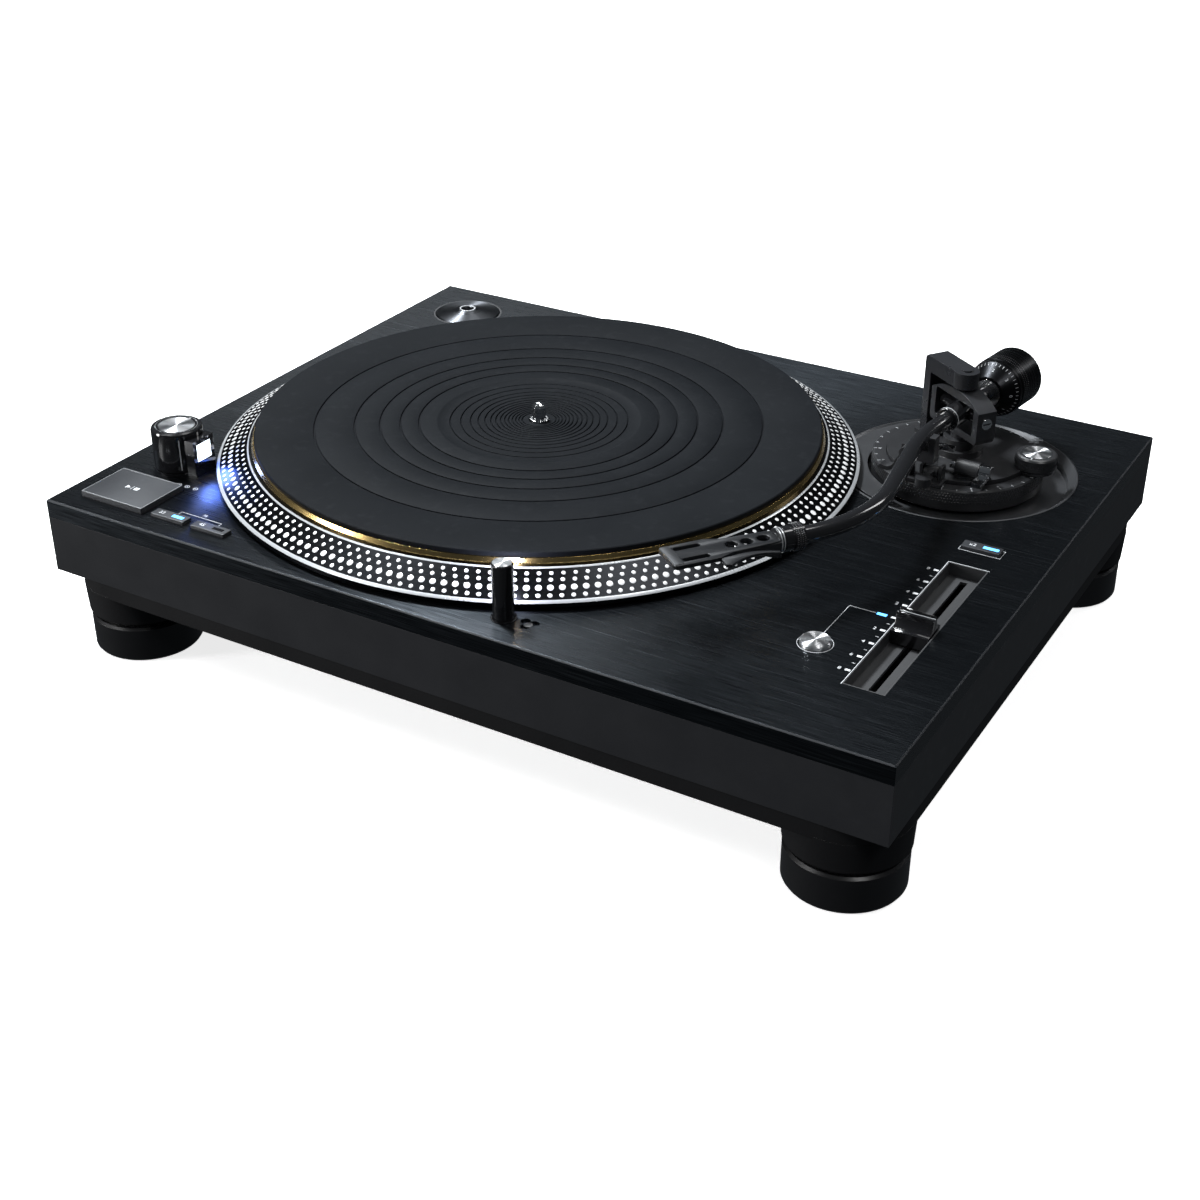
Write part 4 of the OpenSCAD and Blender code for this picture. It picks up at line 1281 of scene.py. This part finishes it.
@dataclass
class TargetLamp:
    """Retracting stylus lamp and its release."""

    place: Point = (32.8 * MM, -158.3 * MM)

    def build(self) -> None:
        """Dress the lamp and add its top and its light."""
        x, y = self.place
        dress(Look.GLOSS, "target_lamp", "lamp_collar", "lamp_release_button")
        spun = spun_top("spun_lamp_top", (0.70, 0.71, 0.73), (x, y, 0.0), 0.25)
        cap = lathe("lamp_cap", mm((0, 27.9), (4.3, 27.9), (4.3, 28.05), (4.15, 28.12), (0, 28.12)), 64)
        piece("lamp_cap", cap, spun, "lamp", at(x, y, DECK_Z))
        glass = bar("lamp_glass", 7.6 * MM, 0.6 * MM, 4.6 * MM, 0.0)
        place = at(x, y, DECK_Z, 27) @ Matrix.Translation((0, 3.95 * MM, 19.2 * MM))
        glass.transform(Matrix.Diagonal((0.72, 1, 1, 1)))
        piece("lamp_glass", glass, Look.WINDOW, "lamp", place)
        studio = Studio()
        studio.light("lamp_beam", (x - 2.6 * MM, y + 5.2 * MM, DECK_Z + 21.5 * MM),
                     (x - 12 * MM, y + 24 * MM, DECK_Z + 8 * MM),
                     (6 * MM, 4 * MM), 0.03, (0.80, 0.80, 1.0))


@dataclass
class Adaptor:
    """Adaptor for records with a large centre hole, in its cup."""

    def build(self) -> None:
        """Dress the adaptor and its cup, and add a bright ring round its hole as a painted highlight."""
        spot = middle("record_adaptor")
        dress(Turned("spun_adaptor", (0.10, 0.105, 0.115), (spot.x, spot.y, 0.0), rough=0.34, pitch=0.35,
                     relief=0.01, spread=0.92),
              "record_adaptor")
        dress(Look.TRAY, "adaptor_cup")
        # Painted highlight: the bright ring stands in for the light caught by the chamfer of the adaptor's
        # hole.
        ring = lathe("adaptor_hole_highlight", mm((4.0, 2.7), (4.9, 2.7), (4.8, 2.95), (4.1, 2.95)), 64)
        piece("adaptor_hole_highlight", ring, Look.EDGE, "adaptor", at(spot.x, spot.y, DECK_Z))


@dataclass
class ArmBase:
    """Well, height ring, carriage, levers, rest and bracket."""

    skate: Point = (40.0 * MM, 2.0 * MM)

    def knurls(self, place: Matrix) -> None:
        """Knurling of the height ring and of the anti-skating knob."""
        ring = Copies(170, 43.5 * MM, rows=4, rise=1.5 * MM, stagger=0.5, tilt=90.0)
        mesh = ring.mesh("height_knurl", pyramid("diamond", 0.95 * MM, 0.78 * MM, 0.3 * MM), Look.ARM)
        mesh.transform(at(0, 0, 1.1 * MM))
        piece("height_knurl", mesh, Look.ARM, "height_dial", place, sharp=15.0)
        knob = Copies(60, 10.45 * MM, tilt=90.0)
        ribs = knob.mesh("skate_knurl", pyramid("rib", 2.5 * MM, 0.45 * MM, 0.3 * MM), Look.ARM)
        ribs.transform(at(0, 0, 13.05 * MM))
        spot = place @ at(*self.skate)
        piece("skate_knurl", ribs, Look.ARM, "antiskate", spot, sharp=15.0)

    def skate_top(self, place: Matrix) -> None:
        """Spun top and line of the anti-skating knob."""
        spot = place @ at(*self.skate)
        centre = spot.translation
        spun = spun_top("spun_skate_top", (0.66, 0.67, 0.69), tuple(centre))
        cap = lathe("skate_cap", mm((0, 16.9), (7.4, 16.9), (7.4, 17.1), (7.2, 17.25), (0, 17.25)), 72)
        piece("skate_cap", cap, spun, "antiskate", spot)
        mark = bar("skate_mark", 0.4 * MM, 1.8 * MM, 0.05 * MM)
        piece("skate_mark", mark, Look.INK, "antiskate", spot @ at(0, -8.4 * MM, 17.0 * MM))

    def scale(self, place: Matrix) -> None:
        """Height scale round the ring's top."""
        ticks = Copies(36, 42.1 * MM).mesh("height_ticks", bar("tick", 1.6 * MM, 0.25 * MM, PRINT), Look.INK)
        ticks.transform(at(0, 0, 7.4 * MM))
        piece("height_ticks", ticks, Look.INK, "height_dial", place)
        numbers = []
        for index in range(7):
            angle = 200 + index * 20
            spin = rotated(angle, "Z")
            turn = rotated(90, "Z")
            numbers.append((word("numeral", str(index), 2.0 * MM),
                            spin @ Matrix.Translation((39.8 * MM, 0, 7.4 * MM)) @ turn))
        piece("height_numbers", joined("height_numbers", numbers), Look.INK, "height_dial",
              place)

    def build(self) -> None:
        """Dress the arm's base and add its details."""
        hub = pivot("arm_swing")
        place = at(hub.x, hub.y, DECK_Z)
        dress(Look.PLATE, "arm_well", "well_plate")
        dress(Look.ARM, "height_ring", "arm_base", "antiskate_knob", "cue_lever", "arm_rest", "arm_clamp")
        dress(Look.YOKE, "pivot_bracket", "gimbal")
        dress(Look.CHROME, "lock_lever", "lift_platform", "gimbal_screws")
        self.knurls(place)
        self.skate_top(place)
        self.scale(place)
        turned = place @ rotated(35, "Z")
        cap = lathe("bracket_screw", mm((0, 53.4), (2.3, 53.4), (2.3, 54.1), (1.9, 54.28), (0, 54.28)), 48)
        piece("bracket_screw", cap, Look.CHROME, "carriage", turned)


@dataclass
class Tonearm:
    """S-shaped tube, sleeve and tail."""

    tail_yaw: float = 8.0
    mid_yaw: float = 9.0
    shell_yaw: float = 37.0
    bend_1: float = 125.0 * MM
    bend_2: float = 79.0 * MM
    middle_run: float = 44.0 * MM
    radius: float = 4.1 * MM

    def path(self) -> list[Vector]:
        """Points along the tube from the pivot to the collar, from the pivot."""
        tail, mid, shell = (math.radians(v) for v in (self.tail_yaw, self.mid_yaw, self.shell_yaw))
        tail_dir = Vector((-math.sin(tail), -math.cos(tail), 0))
        start = tail_dir * 24 * MM
        centre = start + Vector((math.cos(tail), -math.sin(tail), 0)) * self.bend_1
        points = [tail_dir * -5 * MM, tail_dir * 8 * MM, tail_dir * 16 * MM]
        for step in range(13):
            angle = math.pi - tail + (tail + mid) * step / 12
            points.append(centre + Vector((math.cos(angle), math.sin(angle), 0)) * self.bend_1)
        end = points[-1]
        run = Vector((math.sin(mid), -math.cos(mid), 0))
        for part in (0.33, 0.66, 1.0):
            points.append(end + run * self.middle_run * part)
        centre = points[-1] + Vector((-math.cos(mid), -math.sin(mid), 0)) * self.bend_2
        for step in range(1, 17):
            angle = mid - (mid + shell) * step / 16
            points.append(centre + Vector((math.cos(angle), math.sin(angle), 0)) * self.bend_2)
        points.append(points[-1] + Vector((-math.sin(shell), -math.cos(shell), 0)) * 2 * MM)
        return points

    def build(self) -> None:
        """Build the tube, which replaces its node."""
        hub = pivot("arm_swing")
        place = Matrix.Translation(hub)
        path = self.path()
        wand = tube("wand", path, [self.radius] * len(path), 32)
        forward = -axis("weight_turn")
        sleeve = lathe("sleeve", fillet(mm((0, 3), (6, 3), (6, 17), (0, 17)), 0.5 * MM), 48)
        tail = lathe("tail", mm((0, 0), (4, 0), (4, 59.5), (3.5, 60), (0, 60)), 48)
        cross_axis = Vector(JOINTS["arm_raise"]["axis"])
        cross = lathe("cross", mm((0, -16.1), (3, -16.1), (3, 16.1), (0, 16.1)), 32)
        zero = Vector((0, 0, 0))
        parts = [(wand, Matrix()), (sleeve, along(zero, forward)), (tail, along(zero, -forward)),
                 (cross, along(zero, cross_axis))]
        piece("arm_wand", joined("arm_wand", parts), Look.TUBE, "arm", place, ("arm_tube",),
              40.0)
        ring = lathe("sleeve_ring", mm((5.6, 15.2), (6.06, 15.2), (6.06, 15.9), (5.6, 15.9)), 64)
        piece("sleeve_ring", ring, Look.EDGE, "arm", place @ along(zero, forward))


@dataclass
class Headshell:
    """Headshell, plug rings and locking collar."""

    length: float = 53.0 * MM

    def plan(self) -> list[list[Point]]:
        """Outline of the shell's plate, and its holes and slots."""
        corners = [(0, -5.4), (24, -6.6), (31, -9.2), (53, -9.2), (53, 9.2), (31, 9.2), (24, 6.6), (0, 5.4)]
        outline = fillet([(x * MM + 1.0, y * MM + 1.0) for x, y in corners], 2.2 * MM, 5)
        shapes = [[(x - 1.0, y - 1.0) for x, y in outline]]
        shapes += [disc(2.9 * MM, (x * MM, 0.0), 28) for x in (6.5, 14.5, 22.0)]
        for side in (-1, 1):
            y = side * 5.08 * MM
            shapes.append(disc(1.5 * MM, (46 * MM, y), 10, -math.pi / 2, math.pi)
                          + disc(1.5 * MM, (36 * MM, y), 10, math.pi / 2, math.pi))
        return shapes

    def lift(self) -> list[Point]:
        """Outline of the crescent finger lift."""
        def curve(a: Point, b: Point, c: Point) -> list[Point]:
            """Points on a curve that starts at a, leans to b and ends at c."""
            return [tuple((a[k] * (1 - t) ** 2 + b[k] * 2 * t * (1 - t) + c[k] * t * t) * MM for k in (0, 1))
                    for t in (i / 12 for i in range(13))]
        return (curve((4.8, 14.0), (15.5, 7.6), (29.0, 15.6))
                + curve((31.4, 14.8), (31.6, 11.0), (31.0, 8.6))
                + curve((26.0, 8.6), (15.0, 6.4), (4.6, 12.4)))

    def build(self) -> None:
        """Build the shell and dress its collar."""
        forward = axis("collar_turn")
        spot = pivot("collar_turn") + forward * 9.0 * MM
        place = Matrix.Translation(spot) @ Matrix.Rotation(math.atan2(forward.y, forward.x), 4, "Z")
        flat = plate("shell", self.plan(), 0.5 * MM, 2.7 * MM, 0.3 * MM)
        hook = plate("hook", [self.lift()], 0.5 * MM, 2.1 * MM, 0.25 * MM)
        cheek = mm((0.0, 2.0), (0.0, -5.8), (4.0, -5.2), (12.0, -1.5), (24.0, 1.0))
        upright = rotated(90, "X")
        parts = [(flat, Matrix()), (hook, Matrix())]
        parts += [(plate("cheek", [cheek], -0.6 * MM, 0.6 * MM, 0.15 * MM),
                   at(0, y * MM) @ upright) for y in (-5.2, 5.2)]
        turn = rotated(90, "Y")
        parts += [(lathe("plug", fillet(mm((0, -2.3), (5.6, -2.3), (5.6, 0.6), (0, 0.6)),
                                        0.4 * MM), 48), turn),
                  (lathe("pin", mm((0, -7), (3.9, -7), (3.9, 1), (0, 1)), 32), turn)]
        piece("shell_plate", joined("shell_plate", parts), Look.SHELL, "shell", place,
              ("headshell",), 40.0)
        pad = plate("pad", [oblong(4.4 * MM, 16.8 * MM, 0.8 * MM, (50.4 * MM, 0.0))], 2.68 * MM, 2.95 * MM,
                    0.08 * MM)
        piece("shell_front_pad", pad, Look.PLATE, "shell", place)
        rings = [(lathe("ring", [(5.2 * MM, z * MM), (5.72 * MM, z * MM), (5.72 * MM, (z + 0.45) * MM),
                                 (5.2 * MM, (z + 0.45) * MM)], 64), turn) for z in (-1.9, -0.6)]
        piece("plug_rings", joined("plug_rings", rings), Look.EDGE, "shell", place)
        dress(Look.GLOSS, "locking_collar")
        knurl = Copies(44, 6.3 * MM, rows=4, rise=1.15 * MM, stagger=0.5, tilt=90.0)
        mesh = knurl.mesh("collar_knurl", pyramid("diamond", 0.75 * MM, 0.5 * MM, 0.22 * MM), Look.ARM)
        piece("collar_knurl", mesh, Look.ARM, "collar", place @ turn @ at(0, 0, -11.3 * MM),
              sharp=15.0)


@dataclass
class Counterweight:
    """Counterweight, its core and the pressure dial."""

    radius: float = 15.3 * MM

    def build(self) -> None:
        """Dress the weight and add its knurl, ticks and numerals."""
        back = axis("weight_turn")
        hub = pivot("arm_swing")
        place = along(hub, back)
        for name, colour, rough, node in (
                ("weight_satin", (0.018, 0.0185, 0.02), 0.26, "counterweight"),
                ("dial_satin", (0.016, 0.0165, 0.018), 0.32, "pressure_dial"),
                ("weight_core_steel", (0.6, 0.61, 0.62), 0.2, "weight_core")):
            dress(Turned(name, colour, tuple(hub), tuple(back), rough, 0.3, 0.01), node)
        knurl = Copies(96, self.radius - 0.05 * MM, rows=3, rise=2.0 * MM, stagger=0.5, tilt=90.0)
        mesh = knurl.mesh("weight_knurl", pyramid("diamond", 1.2 * MM, 0.5 * MM, 0.22 * MM), Look.ARM)
        piece("weight_knurl", mesh, Look.ARM, "weight", place @ at(0, 0, 37.6 * MM),
              sharp=15.0)
        tilt = 90.0 + math.degrees(math.atan2(5.9, 7.6))
        tick = Copies(40, 13.6 * MM, tilt=tilt)
        marks = tick.mesh("dial_ticks", bar("tick", 1.5 * MM, 0.22 * MM, 0.05 * MM), Look.INK)
        marks.transform(at(0, 0, (25.8 + (13.6 - 8.6) * 7.6 / 5.9) * MM))
        piece("dial_ticks", marks, Look.INK, "dial", place)
        numbers = []
        for index in range(8):
            spin = rotated(index * 45, "Z")
            lean = rotated(tilt, "Y")
            facing = rotated(90, "Z")
            middle_r = 11.4
            spot = Matrix.Translation((middle_r * MM, 0, (25.8 + (middle_r - 8.6) * 7.6 / 5.9) * MM))
            numbers.append((word("numeral", str(index % 4), 2.6 * MM), spin @ spot @ lean @ facing))
        piece("dial_numbers", joined("dial_numbers", numbers), Look.INK, "dial", place)


def main() -> None:
    """Build everything in order."""
    Studio().build()
    for part in (Casing(), Platter(), LeftControls(), PitchControls(), TargetLamp(), Adaptor(), ArmBase(),
                 Tonearm(), Headshell(), Counterweight()):
        LOG.info("building %s", type(part).__name__)
        part.build()


if __name__ == "__main__":
    logging.basicConfig(level=logging.INFO, format="%(name)s: %(message)s")
    main()
